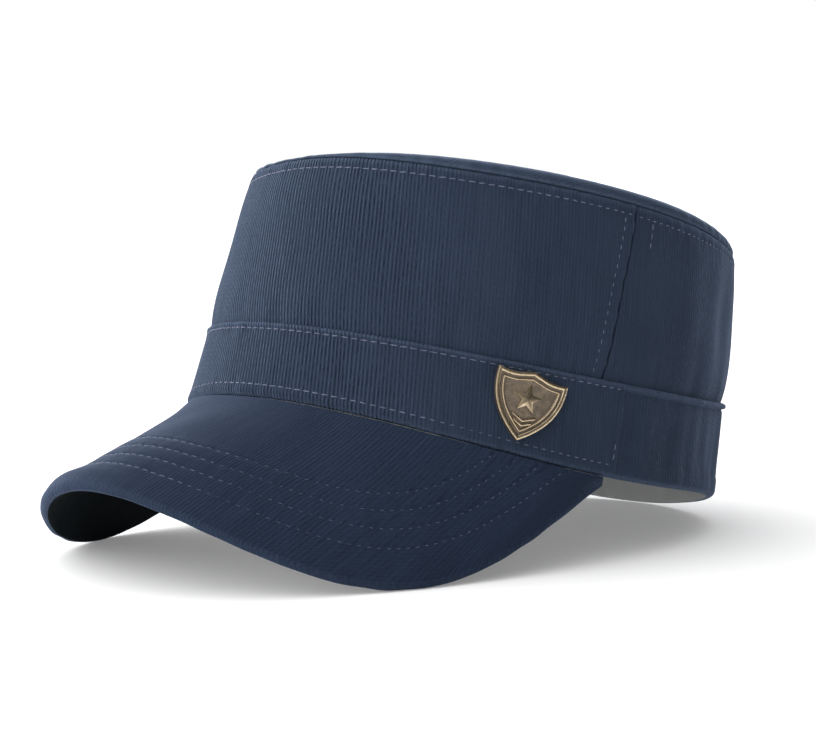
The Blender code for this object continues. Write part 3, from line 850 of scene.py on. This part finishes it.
def visor_under_grid(inside):
    sweep = np.radians(VISOR_SWEEP_ANGLE)
    turn = visor_turns(True) if inside else np.linspace(-1, 1, 241)[None, :] * sweep
    reach = visor_reach(turn)
    thin = visor_thinning(turn)
    radius = VISOR_WHOLE / 2 * thin
    if inside:
        out = np.linspace(0, 1, 12)[:, None] * np.maximum(1 - 1.2 * RIM_INSIDE * thin / reach, 0)
        points = visor_layer(turn, out, VISOR_TOP_WALL + GAP)
        return sheet(points, visor_cloth(points))
    out = np.linspace(0, 1, 60)[:, None] * np.maximum(1 - radius / reach, 0)
    points = visor_layer(turn, out, VISOR_WHOLE)
    puckers = 0.15 * MM * waver(lip_length(turn), 0.011, 62) * (out / out.max()) ** 6
    points[1:, :, 2] += puckers * thin
    uneven = 1 + 0.03 * waver(lip_length(turn), 0.010, 63)
    rows = [points]
    for angle in np.linspace(np.pi, np.radians(RIM_TURN + 3), 7)[1:]:
        rows.append(rim_row(turn, radius, angle, uneven))
    points = np.concatenate(rows)
    return sheet(points, visor_cloth(points))


# Stitches

def sinking(degrees, first, last):
    """How deep the thread is pulled in, from nothing at one angle to its full depth at another."""
    return STITCH_SUNK * np.clip((degrees - first) / (last - first), 0, 1)


def stitches_on(surface, one, two, seed, facing_of=None, sunk=0.0, length=STITCH_LENGTH):
    """Centre lines and facings of the stitches along a line on a surface of two coordinates.

    Sunk gives how deep the thread lies in the cloth along the line, where it is pulled tight.
    """
    ahead = running_length(surface(one, two))
    count = int((ahead[-1] - length) / STITCH_PITCH)
    draws = np.random.default_rng(seed)
    middles = (ahead[-1] - count * STITCH_PITCH) / 2 + STITCH_PITCH * np.arange(count + 1)
    share = np.linspace(-0.5, 0.5, 7)
    lengths = length * draws.uniform(0.90, 1.08, count + 1)
    places = middles[:, None] + share[None, :] * lengths[:, None]
    one_at = np.interp(places, ahead, one)
    two_at = np.interp(places, ahead, two)
    points = surface(one_at, two_at)
    normals = facing_of(one_at, two_at) if facing_of else facing(surface, one_at, two_at)
    along = unit(points[:, -1] - points[:, 0])
    aside = np.cross(normals, along[:, None, :])
    slant = 0.05 * MM + 0.05 * MM * draws.normal(size=(count + 1, 1))
    points = points + aside * (slant * share[None, :] * 2)[..., None]
    arch = np.sin(np.pi * (share + 0.5))
    lift = THREAD_ARCH * np.maximum(arch, 0) ** 0.40 - THREAD_DIP - np.interp(places, ahead, sunk + 0 * one)
    points = points + normals * lift[..., None]
    return points, normals, np.maximum(arch, 0) ** 0.5


def thread_mesh(name, groups):
    """All stitches of a kind as one mesh of short rounded threads."""
    sides = 6
    verts, faces, cloth = [], [], []
    first = 0
    turns = np.linspace(0, 2 * np.pi, sides, endpoint=False)
    for points, normals, arch in groups:
        count, length = points.shape[:2]
        along = unit(np.gradient(points, axis=1))
        aside = unit(np.cross(normals, along))
        up = np.cross(along, aside)
        radius = THREAD_RADIUS * (0.45 + 0.55 * arch)
        ring = up[:, :, None, :] * np.cos(turns)[:, None]
        ring = ring + aside[:, :, None, :] * np.sin(turns)[:, None] * 1.15
        verts.append((points[:, :, None, :] + ring * radius[None, :, None, None]).reshape(-1, 3))
        steps = np.linspace(0, STITCH_LENGTH, length)[None, :, None]
        places = stacked(steps, turns * THREAD_RADIUS, np.zeros((count, 1, 1)))
        cloth.append(places.reshape(-1, 3))
        index = first + np.arange(count * length * sides).reshape(count, length, sides)
        after = np.roll(index, -1, axis=2)
        quads = np.stack([index[:, :-1], after[:, :-1], after[:, 1:], index[:, 1:]], axis=-1)
        faces += quads.reshape(-1, 4).tolist()
        faces += index[:, 0].tolist() + index[:, -1].tolist()
        first += count * length * sides
    mesh = solid_mesh(name, np.concatenate(verts), faces, 80)
    add_values(mesh, "cloth", "FLOAT_VECTOR", np.concatenate(cloth))
    return mesh


def crown_stitches():
    groups = []
    seam = np.radians(CROWN_SEAM_TOP_ANGLE) + 0.010
    for first, last, seed in ((-seam + 0.02, seam - 0.02, 71), (seam, 2 * np.pi - seam, 74)):
        angle = np.linspace(first, last, 900)
        sunk = 0.7 * sinking(np.abs(turned(np.degrees(angle), 0.0)), 30, 75)
        groups.append(stitches_on(crown_face, angle, 1 - TOP_ROW / crown_span(angle), seed, sunk=sunk))
    for side in (-1, 1):
        share = np.linspace(0.02, 1 - 1.2 * TOP_ROW / CROWN_RISE, 200)
        row = side * arc_angle(arc(side_seam_angle(share)) - SIDE_ROW)
        groups.append(stitches_on(crown_face, row, share, 72 + side, sunk=0.75 * STITCH_SUNK))
        share = np.linspace(1 - (TOP_ROW + TACK_LENGTH) / CROWN_RISE, 1 - TOP_ROW / CROWN_RISE, 60)
        row = arc_angle(arc(side_seam_angle(share)) + TACK_BEHIND)
        row = row if side > 0 else 2 * np.pi - row
        groups.append(stitches_on(crown_face, row, share, 77 + side, sunk=0.65 * STITCH_SUNK))
    return groups


def band_stitches():
    groups = []
    stop = float(arc_angle(arc(np.radians(BAND_SEAM_ANGLE)) - 1.5 * MM))
    angle = np.linspace(-stop, stop, 900)
    span = band_height(angle) - rim_height(angle)
    degrees = np.abs(np.degrees(angle))
    top_sunk, foot_sunk = 0.6 * sinking(degrees, 35, 65), 0.8 * sinking(degrees, 5, 50)
    groups.append(stitches_on(band_front_face, angle, 1 - BAND_TOP_ROW / span, 81, sunk=top_sunk))
    groups.append(stitches_on(band_front_face, angle, BAND_FOOT_ROW / span, 82, sunk=foot_sunk))
    for side in (-1, 1):
        share = np.linspace(BAND_FOOT_ROW, BAND_FOOT_ROW + BAND_END_ROW, 30) / BAND_END_RISE
        end = np.full_like(share, side * stop)
        groups.append(stitches_on(band_front_face, end, share, 83 + side, sunk=0.7 * STITCH_SUNK))
    return groups


def visor_stitches():
    groups = []
    turn = np.linspace(-np.pi / 2, np.pi / 2, 2001)
    for k, row in enumerate(VISOR_ROWS):
        out = 1 - row / visor_reach(turn)
        kept = out > 0.6 * MM / visor_reach(turn)
        sunk = sinking(np.degrees(turn), -12, 18)[kept]
        length = 1.1 * STITCH_LENGTH
        groups.append(stitches_on(visor_face, turn[kept], out[kept], 91 + k, visor_normal, sunk, length))
    return groups


# The badge

def badge_place(x, y, depth):
    """A point over the band's outer face, from its depth and its x to the back and y up before the turn."""
    angle = math.radians(BADGE_ANGLE)
    height = (rim_height(angle) + band_height(angle)) / 2 + BADGE_LIFT
    step = 0.001
    pace = np.linalg.norm(wall(angle + step, height, 0.0) - wall(angle - step, height, 0.0)) / (2 * step)
    turn = math.radians(BADGE_TURN)
    along = np.asarray(x) * math.cos(turn) + y * math.sin(turn)
    return wall(angle + along / pace, height + y * math.cos(turn) - x * math.sin(turn), -depth)


def shield_edge():
    """The shield's edge as a fine closed line, clockwise from the peak in the middle of its top."""
    half = BADGE_WIDTH / 2
    high = BADGE_HEIGHT / 2
    shoulder = high - SHIELD_PEAK
    across = np.linspace(0, 1, 40)
    top = shoulder + SHIELD_PEAK * np.maximum(0, 1 - across / 0.45) ** 1.5
    top = top - 0.35 * SHIELD_PEAK * np.sin(np.pi * np.clip((across - 0.3) / 0.7, 0, 1))
    down = np.linspace(0, 1, 120)[1:]
    side = half * (1 - down ** SHIELD_FULLNESS)
    right = np.concatenate([np.stack([half * across, top], axis=-1),
                            np.stack([side, shoulder - (shoulder + high) * down], axis=-1)])
    left = right[1:-1][::-1] * np.array([-1, 1])
    return np.concatenate([right, left])


def distance_to(points, line):
    """Distance from each point to a closed line of points."""
    start = line
    step = np.roll(line, -1, axis=0) - line
    offset = points[:, None, :] - start[None]
    share = np.clip(np.sum(offset * step, axis=-1) / np.sum(step ** 2, axis=-1), 0, 1)
    return np.linalg.norm(offset - step * share[..., None], axis=-1).min(axis=1)


def shield_rings(insets):
    """Rings of points at given distances inside the shield's edge, seen from its middle."""
    line = shield_edge()
    directions = unit(line)
    reach = np.linalg.norm(line, axis=-1)
    shares = np.linspace(1, 0.45, 56)
    inside = np.array([distance_to(line * share, line) for share in shares])
    rings = []
    for inset in insets:
        share = np.array([np.interp(inset, inside[:, k], shares) for k in range(len(line))])
        rings.append(directions * (reach * share)[:, None])
    return rings


def badge_profile():
    """How the shield's face rises and falls from its edge inwards: inset, depth and brightness."""
    field = GAP + BADGE_PLATE
    raised = field + BADGE_RELIEF
    rows = [(0.0, GAP, 0.3), (0.0, field - 0.5 * MM, 0.4), (0.0, raised - 0.22 * MM, 0.8),
            (0.07, raised - 0.06 * MM, 1.0), (0.22, raised, 1.0), (0.65, raised + 0.03 * MM, 0.9),
            (1.05, raised, 1.0), (1.2, raised - 0.08 * MM, 0.9), (1.3, raised - 0.25 * MM, 0.5),
            (1.38, field + 0.08 * MM, 0.1), (1.5, field, 0.0), (1.92, field, 0.0),
            (2.04, field + 0.08 * MM, 0.1), (2.12, raised - 0.28 * MM, 0.5), (2.2, raised - 0.1 * MM, 1.0),
            (2.38, raised - 0.02 * MM, 1.0), (2.56, raised - 0.1 * MM, 1.0),
            (2.64, raised - 0.28 * MM, 0.5), (2.74, field + 0.08 * MM, 0.1), (2.9, field, 0.1)]
    return [(inset * MM, depth, bright) for inset, depth, bright in rows]


def badge_plate():
    profile = badge_profile()
    rings = shield_rings([row[0] for row in profile])
    depths = [np.full(len(ring), row[1]) for ring, row in zip(rings, profile)]
    bright = [np.full(len(ring), row[2]) for ring, row in zip(rings, profile)]
    for share in np.linspace(1, 0.06, 14)[1:]:
        rings.append(rings[len(profile) - 1] * share)
        depths.append(depths[len(profile) - 1])
        bright.append(np.full(len(rings[0]), 0.22 + 0.1 * (1 - share)))
    rings, depths, bright = np.array(rings), np.array(depths), np.array(bright)
    rows, columns = depths.shape
    points = badge_place(rings[..., 0], rings[..., 1], depths).reshape(-1, 3)
    index = np.arange(rows * columns).reshape(rows, columns)
    faces = grid_faces(0, rows, columns, True)
    faces += [index[-1].tolist()]
    hole = len(points)
    back = [badge_place(rings[0, :, 0] * share, rings[0, :, 1] * share, GAP) for share in (0.66, 0.33)]
    points = np.concatenate([points, *back])
    faces += grid_faces(hole, 2, columns, True)
    inner = hole + np.arange(columns)
    after = np.roll(np.arange(columns), -1)
    faces += np.stack([index[0], index[0, after], inner[after], inner], axis=-1).tolist()
    faces += [(hole + columns + np.arange(columns)).tolist()]
    return points, faces, np.concatenate([bright.ravel(), np.zeros(2 * columns)])


def star_body():
    """A raised star whose arms rise to ridges."""
    corners = []
    for step in range(10):
        radius = STAR_RADIUS if step % 2 == 0 else STAR_RADIUS * STAR_WAIST
        turn = math.radians(36 * step)
        corners.append((radius * math.sin(turn), STAR_LIFT + radius * math.cos(turn)))
    corners = np.array(corners)
    field = GAP + BADGE_PLATE
    low = badge_place(corners[:, 0], corners[:, 1], field - 0.2 * MM)
    high = badge_place(corners[:, 0], corners[:, 1], field + 0.35 * MM)
    peak = badge_place(np.array([0.0]), np.array([STAR_LIFT]), field + BADGE_RELIEF + 0.25 * MM)
    points = np.concatenate([low, high, peak])
    faces = [tuple(range(10))]
    for k in range(10):
        after = (k + 1) % 10
        faces += [(k, after, 10 + after, 10 + k), (10 + k, 10 + after, 20)]
    return points, faces, np.array([0.2] * 10 + [0.85] * 10 + [1.0])


def drawn_in(outline, distance):
    before = unit(outline - np.roll(outline, 1, axis=0))
    after = unit(np.roll(outline, -1, axis=0) - outline)
    square = np.stack([after[:, 1], -after[:, 0]], axis=-1)
    inwards = unit(np.stack([before[:, 1] + after[:, 1], -before[:, 0] - after[:, 0]], axis=-1))
    return outline + inwards * (distance / np.sum(inwards * square, axis=-1))[:, None]


def chevron_body(order):
    size = 1 - CHEVRON_SHRINK * order
    top = -CHEVRON_LOW - order * CHEVRON_PITCH
    half = CHEVRON_HALF_WIDTH * size
    dip = top - CHEVRON_DROP * size
    level = (top + dip) / 2
    upper = np.array([(-half, top), (-half / 2, level), (0.0, dip), (half / 2, level), (half, top)])
    lower = (upper - np.array([0.0, CHEVRON_WEIGHT]))[::-1]
    outline = np.concatenate([upper, lower])
    field = GAP + BADGE_PLATE
    levels = [(0.0, field - 0.2 * MM, 0.2), (0.0, field + BADGE_RELIEF - 0.2 * MM, 0.7),
              (0.08 * MM, field + BADGE_RELIEF - 0.05 * MM, 1.0), (0.22 * MM, field + BADGE_RELIEF, 1.0)]
    rings = [drawn_in(outline, inset) for inset, _, _ in levels]
    rows = [badge_place(ring[:, 0], ring[:, 1], row[1]) for ring, row in zip(rings, levels)]
    count = len(outline)
    faces = grid_faces(0, len(levels), count, True)
    for first in (0, (len(levels) - 1) * count):
        last = first + count - 1
        faces += [(first + k, first + k + 1, last - 1 - k, last - k) for k in range(count // 2 - 1)]
    return np.concatenate(rows), faces, np.repeat([row[2] for row in levels], count)


def badge_mesh():
    points, faces, bright = [], [], []
    first = 0
    bodies = [badge_plate(), star_body(), chevron_body(0), chevron_body(1)]
    for body_points, body_faces, body_bright in bodies:
        points.append(body_points)
        bright.append(body_bright)
        faces += [[int(first + k) for k in face] for face in body_faces]
        first += len(body_points)
    mesh = solid_mesh("badge_cast", np.concatenate(points), faces, 38)
    add_values(mesh, "relief", "FLOAT", np.concatenate(bright))
    return mesh


# Materials

class Graph:
    """The nodes of a material or of the world, made one by one."""

    def __init__(self, owner, shader="Principled BSDF"):
        self.owner = owner
        owner.use_nodes = True
        self.tree = owner.node_tree
        self.shader = self.tree.nodes[shader]

    def add(self, kind, inputs=None, **settings):
        node = self.tree.nodes.new(kind)
        for key, value in settings.items():
            setattr(node, key, value)
        for key, value in (inputs or {}).items():
            self.feed(node.inputs[key], value)
        return node

    def feed(self, socket, value):
        if isinstance(value, bpy.types.NodeSocket):
            self.tree.links.new(value, socket)
        else:
            socket.default_value = value

    def math(self, operation, one, two=0.0, three=0.0):
        return self.add("ShaderNodeMath", {0: one, 1: two, 2: three}, operation=operation).outputs[0]

    def attribute(self, name):
        return self.add("ShaderNodeAttribute", attribute_name=name, attribute_type="GEOMETRY")

    def noise(self, place, scale, detail=2.0, rough=0.5):
        """Soft noise from 0 to 1 over a place in millimetres."""
        inputs = {"Vector": place, "Scale": scale, "Detail": detail, "Roughness": rough}
        return self.add("ShaderNodeTexNoise", inputs, noise_dimensions="3D").outputs["Fac"]

    def stretched(self, place, x, y, z=1.0):
        return self.add("ShaderNodeVectorMath", {0: place, 1: (x, y, z)}, operation="MULTIPLY").outputs[0]

    def mix(self, share, one, two):
        node = self.add("ShaderNodeMix", data_type="RGBA")
        self.feed(node.inputs[0], share)
        self.feed(node.inputs[6], one)
        self.feed(node.inputs[7], two)
        return node.outputs[2]

    def ranged(self, value, low, high, to_low, to_high):
        inputs = {0: value, 1: low, 2: high, 3: to_low, 4: to_high}
        return self.add("ShaderNodeMapRange", inputs).outputs[0]

    def on_cloth(self):
        """The place on the cloth in millimetres, whole and split in its directions."""
        place = self.stretched(self.attribute("cloth").outputs["Vector"], 1000, 1000, 1000)
        return place, self.add("ShaderNodeSeparateXYZ", {0: place}).outputs

    def on_object(self):
        return self.add("ShaderNodeTexCoord").outputs["Object"]

    def set(self, **values):
        for key, value in values.items():
            self.feed(self.shader.inputs[key.replace("_", " ")], value)
        return self.owner

    def set_relief(self, colour, rough, height, distance, **values):
        """Sets a colour, a roughness and a relief of a greatest height, and other inputs by their names."""
        bump = self.add("ShaderNodeBump", {"Height": height, "Distance": distance, "Strength": 1.0})
        return self.set(Base_Color=colour, Roughness=rough, Normal=bump.outputs[0], **values)


def sine(graph, value, pitch):
    """A smooth ridge, from 0 to 1, repeated at a pitch in millimetres."""
    turn = graph.math("MULTIPLY", value, 2 * math.pi / pitch)
    return graph.math("MULTIPLY_ADD", graph.math("SINE", turn), 0.5, 0.5)


def twill(name, dark, light, wear_and_highlight_colour, rib_pitch, rib_height, rib_share, brow_share):
    """Ribbed twill: uneven ribs, slanted weave, streaked yarn, faded patches, worn edges, a painted
    highlight on the top panel's roll, and painted shade along the seams.

    The ribs keep one share of their strength all over, and gain another over the forehead, where their
    stronger light and dark colour stripes are painted rib shading for light raking across them, and their
    relief grows too.
    """
    graph = Graph(bpy.data.materials.new(name))
    place, split = graph.on_cloth()
    drift = graph.noise(graph.stretched(place, 0.10, 0.02), 1.0, 1.0)
    across = graph.math("MULTIPLY_ADD", drift, 1.6, split[0])
    rib = sine(graph, across, rib_pitch)
    slanted = graph.math("MULTIPLY_ADD", split[1], 0.42, across)
    weave = sine(graph, slanted, 0.62)
    streak = graph.noise(graph.stretched(place, 0.9, 0.05), 1.0, 2.0, 0.55)
    yarn = graph.noise(graph.stretched(place, 2.2, 0.9), 1.0, 2.0, 0.6)
    patch = graph.noise(place, 0.030, 3.0, 0.55)
    # Painted rib shading: over the forehead the ribs' colour stripes grow stronger, for light raking across
    # them there; their relief grows with them
    brow = graph.ranged(graph.math("ABSOLUTE", split[0]), 28.0, 70.0, brow_share, 0.0)
    strength = graph.ranged(graph.noise(place, 0.035, 1.0), 0.35, 0.65, 0.55, 1.0)
    uneven = graph.noise(graph.stretched(place, 1.0 / rib_pitch, 0.40), 1.0, 1.0)
    strength = graph.math("MULTIPLY", strength, graph.ranged(uneven, 0.30, 0.70, 0.20, 1.75))
    strength = graph.math("MULTIPLY", strength, graph.math("ADD", brow, rib_share))
    ridge = graph.math("MULTIPLY", graph.math("SUBTRACT", rib, 0.5), strength)
    tone = graph.math("MULTIPLY_ADD", ridge, 0.62, 0.5)
    for value, weight in ((streak, 0.45), (yarn, 0.55), (weave, 0.12), (patch, 0.45)):
        tone = graph.math("MULTIPLY_ADD", graph.math("SUBTRACT", value, 0.5), weight, tone)
    colour = graph.mix(graph.ranged(tone, 0.0, 1.0, 0.0, 1.0), dark, light)
    wear_and_painted_light = graph.attribute("wear_and_painted_light").outputs["Fac"]
    # Above 0 the channel lightens the cloth towards the second colour: worn cloth at folded edges, and a
    # painted highlight on the top panel's roll
    brightened = graph.ranged(yarn, 0.3, 0.7, 0.15, 0.60)
    brightened = graph.math("MULTIPLY", graph.ranged(wear_and_painted_light, 0.0, 1.0, 0.0, 1.0), brightened)
    colour = graph.mix(brightened, colour, wear_and_highlight_colour)
    # Painted shade: below 0 the channel darkens the cloth towards near black along the seams, where their
    # crevices are in shade
    colour = graph.mix(graph.ranged(wear_and_painted_light, -1.0, 0.0, 0.85, 0.0), colour, (0.0015, 0.0025, 0.0050, 1))
    height = graph.math("MULTIPLY", ridge, 1.1)
    for value, weight in ((streak, 0.30), (yarn, 0.35), (weave, 0.14)):
        height = graph.math("MULTIPLY_ADD", value, weight, height)
    rough = graph.ranged(streak, 0.2, 0.8, 0.95, 0.82)
    return graph.set_relief(colour, rough, height, rib_height, Sheen_Weight=0.26, Sheen_Roughness=0.30,
                            Sheen_Tint=(0.50, 0.66, 1.0, 1.0), Specular_IOR_Level=0.06)


def lining(name, dark, light):
    """Plain cotton with a fine even weave."""
    graph = Graph(bpy.data.materials.new(name))
    place, split = graph.on_cloth()
    warp = sine(graph, split[0], 0.7)
    weft = sine(graph, split[1], 0.7)
    weave = graph.math("MULTIPLY", warp, weft)
    patch = graph.noise(place, 0.06, 3.0, 0.6)
    yarn = graph.noise(graph.stretched(place, 2.0, 1.2), 1.0, 2.0, 0.6)
    tone = graph.math("MULTIPLY_ADD", weave, 0.35, graph.math("MULTIPLY", patch, 0.6))
    colour = graph.mix(tone, dark, light)
    height = graph.math("MULTIPLY_ADD", yarn, 0.5, weave)
    rough = graph.ranged(patch, 0.3, 0.7, 0.85, 0.95)
    return graph.set_relief(colour, rough, height, 0.00012, Specular_IOR_Level=0.04)


def thread(name, dark, light):
    """Twisted sewing thread."""
    graph = Graph(bpy.data.materials.new(name))
    split = graph.on_cloth()[1]
    twist = sine(graph, graph.math("ADD", split[0], split[1]), 0.45)
    patch = graph.noise(graph.on_object(), 260.0, 2.0, 0.5)
    tone = graph.math("MULTIPLY_ADD", twist, 0.35, graph.ranged(patch, 0.3, 0.7, 0.0, 0.65))
    rough = graph.ranged(twist, 0.0, 1.0, 0.72, 0.52)
    colour = graph.mix(tone, dark, light)
    return graph.set_relief(colour, rough, twist, 0.00006, Sheen_Weight=0.3, Sheen_Roughness=0.4,
                            Specular_IOR_Level=0.35)


def antique_brass(name):
    """Cast brass, bright where it is rubbed and darkened and grainy in its hollows."""
    graph = Graph(bpy.data.materials.new(name))
    where = graph.on_object()
    relief = graph.attribute("relief").outputs["Fac"]
    grain = graph.noise(where, 2600.0, 3.0, 0.65)
    patch = graph.noise(where, 420.0, 3.0, 0.6)
    height = graph.math("MULTIPLY_ADD", graph.math("SUBTRACT", patch, 0.5), 0.7, relief)
    brightened = graph.ranged(height, 0.15, 1.00, 0.0, 1.0)
    hollow = graph.mix(grain, (0.045, 0.030, 0.018, 1), (0.380, 0.320, 0.260, 1))
    bright = graph.mix(patch, (0.420, 0.310, 0.190, 1), (0.800, 0.660, 0.460, 1))
    rough = graph.ranged(brightened, 0.0, 1.0, 0.55, 0.26)
    grainy = graph.ranged(brightened, 0.0, 1.0, 1.0, 0.15)
    uneven = graph.math("MULTIPLY_ADD", grain, grainy, graph.math("MULTIPLY", patch, 0.8))
    return graph.set_relief(graph.mix(brightened, hollow, bright), rough, uneven, 0.00014, Metallic=1.0)


def steel(name):
    """Plain drawn steel with fine marks."""
    graph = Graph(bpy.data.materials.new(name))
    marks = graph.noise(graph.stretched(graph.on_object(), 4000, 400, 400), 1.0, 3.0, 0.6)
    colour = graph.mix(marks, (0.42, 0.42, 0.43, 1), (0.62, 0.62, 0.63, 1))
    rough = graph.ranged(marks, 0.2, 0.8, 0.25, 0.42)
    return graph.set_relief(colour, rough, marks, 0.00003, Metallic=1.0)


def floor_material(name):
    graph = Graph(bpy.data.materials.new(name))
    patch = graph.noise(graph.on_object(), 3.0, 2.0)
    colour = graph.mix(patch, (0.840, 0.840, 0.843, 1), (0.860, 0.860, 0.863, 1))
    return graph.set(Base_Color=colour, Roughness=0.9, Specular_IOR_Level=0.1,
                     Emission_Color=(1.0, 1.0, 1.0, 1.0), Emission_Strength=0.20)


# Putting it together

def make_cap():
    dark_blue, light_blue = (0.0110, 0.0175, 0.0315, 1), (0.0360, 0.0525, 0.0860, 1)
    # The second colours are the cloth worn pale; the top panel's also serves as its painted highlight
    rubbed_blue, top_worn_and_highlight = (0.080, 0.110, 0.175, 1), (0.135, 0.175, 0.250, 1)
    navy = twill("navy_twill", dark_blue, light_blue, rubbed_blue, 1.25, 0.00022, 0.40, 1.27)
    # The top panel's cloth is the crown's made lighter: painted light, for the light that falls on the top
    # from above
    dark_top, light_top = (0.0138, 0.0218, 0.0380, 1), (0.0430, 0.0625, 0.1010, 1)
    navy_top_painted_light = twill("navy_top_painted_light", dark_top, light_top, top_worn_and_highlight, 1.25, 0.00012, 0.2, 0.0)
    # The visor's cloth is the crown's made darker: painted shade, for the lesser light on the visor's upper
    # face
    dark_lip, light_lip = (0.0078, 0.0130, 0.0262, 1), (0.0268, 0.0400, 0.0720, 1)
    navy_visor_painted_shade = twill("navy_visor_painted_shade", dark_lip, light_lip, rubbed_blue, 1.05, 0.00016, 0.45, 0.0)
    navy_back = lining("navy_inside", (0.010, 0.015, 0.028, 1), (0.026, 0.037, 0.060, 1))
    sweatband = lining("sweatband", (0.400, 0.410, 0.400, 1), (0.660, 0.670, 0.660, 1))
    # The visor's underside: a darker lining, made near black with painted shade for the shadow under the
    # visor
    dark = lining("dark_lining", (0.0010, 0.0026, 0.0040, 1), (0.0030, 0.0065, 0.0090, 1))
    sewing = thread("navy_thread", (0.060, 0.075, 0.135, 1), (0.180, 0.200, 0.310, 1))
    for name, is_front in (("crown_front", True), ("crown_back", False)):
        mesh = sheet_mesh(name, crown_grid(is_front, False), crown_grid(is_front, True))
        add_piece(name + "_cloth", mesh, [navy, navy_back], [name])
    for name, is_front in (("band_front", True), ("band_back", False)):
        mesh = sheet_mesh(name, band_grid(is_front, False), band_grid(is_front, True))
        add_piece(name + "_cloth", mesh, [navy, sweatband], [name])
    mesh = sheet_mesh("top_panel", top_grid(False), top_grid(True), closed=True)
    add_piece("top_panel_cloth", mesh, [navy_top_painted_light, navy_back], ["top_panel"])
    mesh = sheet_mesh("visor_top", visor_top_grid(False), visor_top_grid(True))
    add_piece("visor_top_cloth", mesh, [navy_visor_painted_shade, navy_back], ["visor_top"])
    mesh = sheet_mesh("visor_underside", visor_under_grid(False), visor_under_grid(True))
    add_piece("visor_underside_cloth", mesh, [dark, dark], ["visor_underside"])
    for name, rows in (("crown", crown_stitches), ("band", band_stitches), ("visor", visor_stitches)):
        add_piece("stitches_" + name, thread_mesh("stitches_" + name, rows()), [sewing])
    add_piece("badge_cast", badge_mesh(), [antique_brass("antique_brass")], ["badge"])
    frame["nodes"]["badge_pin"].data.materials.clear()
    frame["nodes"]["badge_pin"].data.materials.append(steel("pin_steel"))


def make_floor():
    mesh = bpy.data.meshes.new("floor")
    size = 40.0
    corners = [(-size, -size, 0), (size, -size, 0), (size, size, 0), (-size, size, 0)]
    mesh.from_pydata(corners, [], [(0, 1, 2, 3)])
    mesh.materials.append(floor_material("floor"))
    floor = bpy.data.objects.new("floor", mesh)
    bpy.context.scene.collection.objects.link(floor)


def make_light():
    """A white tent whose light is stronger from one side. The background itself stays white."""
    world = bpy.data.worlds.new("studio")
    bpy.context.scene.world = world
    graph = Graph(world, "Background")
    inputs = {0: graph.add("ShaderNodeTexCoord").outputs["Generated"], 1: LIGHT_SIDE}
    toward = graph.add("ShaderNodeVectorMath", inputs, operation="DOT_PRODUCT").outputs["Value"]
    share = graph.ranged(toward, -1.0, 1.0, 0.0, 1.0)
    level = graph.math("MULTIPLY", graph.math("POWER", share, LIGHT_POWER), LIGHT_LEVEL)
    seen = graph.add("ShaderNodeLightPath").outputs["Is Camera Ray"]
    strength = graph.add("ShaderNodeMix", {0: seen, 2: level, 3: 1.0}).outputs[0]
    graph.set(Color=(1.0, 1.0, 1.0, 1.0), Strength=strength)
    bpy.context.scene.view_settings.view_transform = "Standard"


def make_camera():
    """The photograph's viewpoint, found by fitting the cap's outlines and seams to it."""
    turn, rise = math.radians(42.877), math.radians(4.692)
    focal_pixels, image_width, sensor = 2464.5, 816, 36.0
    aim_height, aim_aside, distance = 0.05491, 0.000609, 0.8094
    back = Vector((math.sin(turn) * math.cos(rise), -math.cos(turn) * math.cos(rise), math.sin(rise)))
    right = Vector((math.cos(turn), math.sin(turn), 0.0))
    up = back.cross(right)
    aim = Vector((0.0, 0.0, aim_height)) + right * aim_aside
    data = bpy.data.cameras.new("camera")
    data.sensor_width = sensor
    data.lens = sensor * focal_pixels / image_width
    data.clip_start = 0.01
    camera = bpy.data.objects.new("camera", data)
    bpy.context.scene.collection.objects.link(camera)
    place = aim + back * distance
    camera.matrix_world = Matrix.Translation(place) @ Matrix((right, up, back)).transposed().to_4x4()
    bpy.context.scene.camera = camera


make_cap()
make_floor()
make_light()
make_camera()
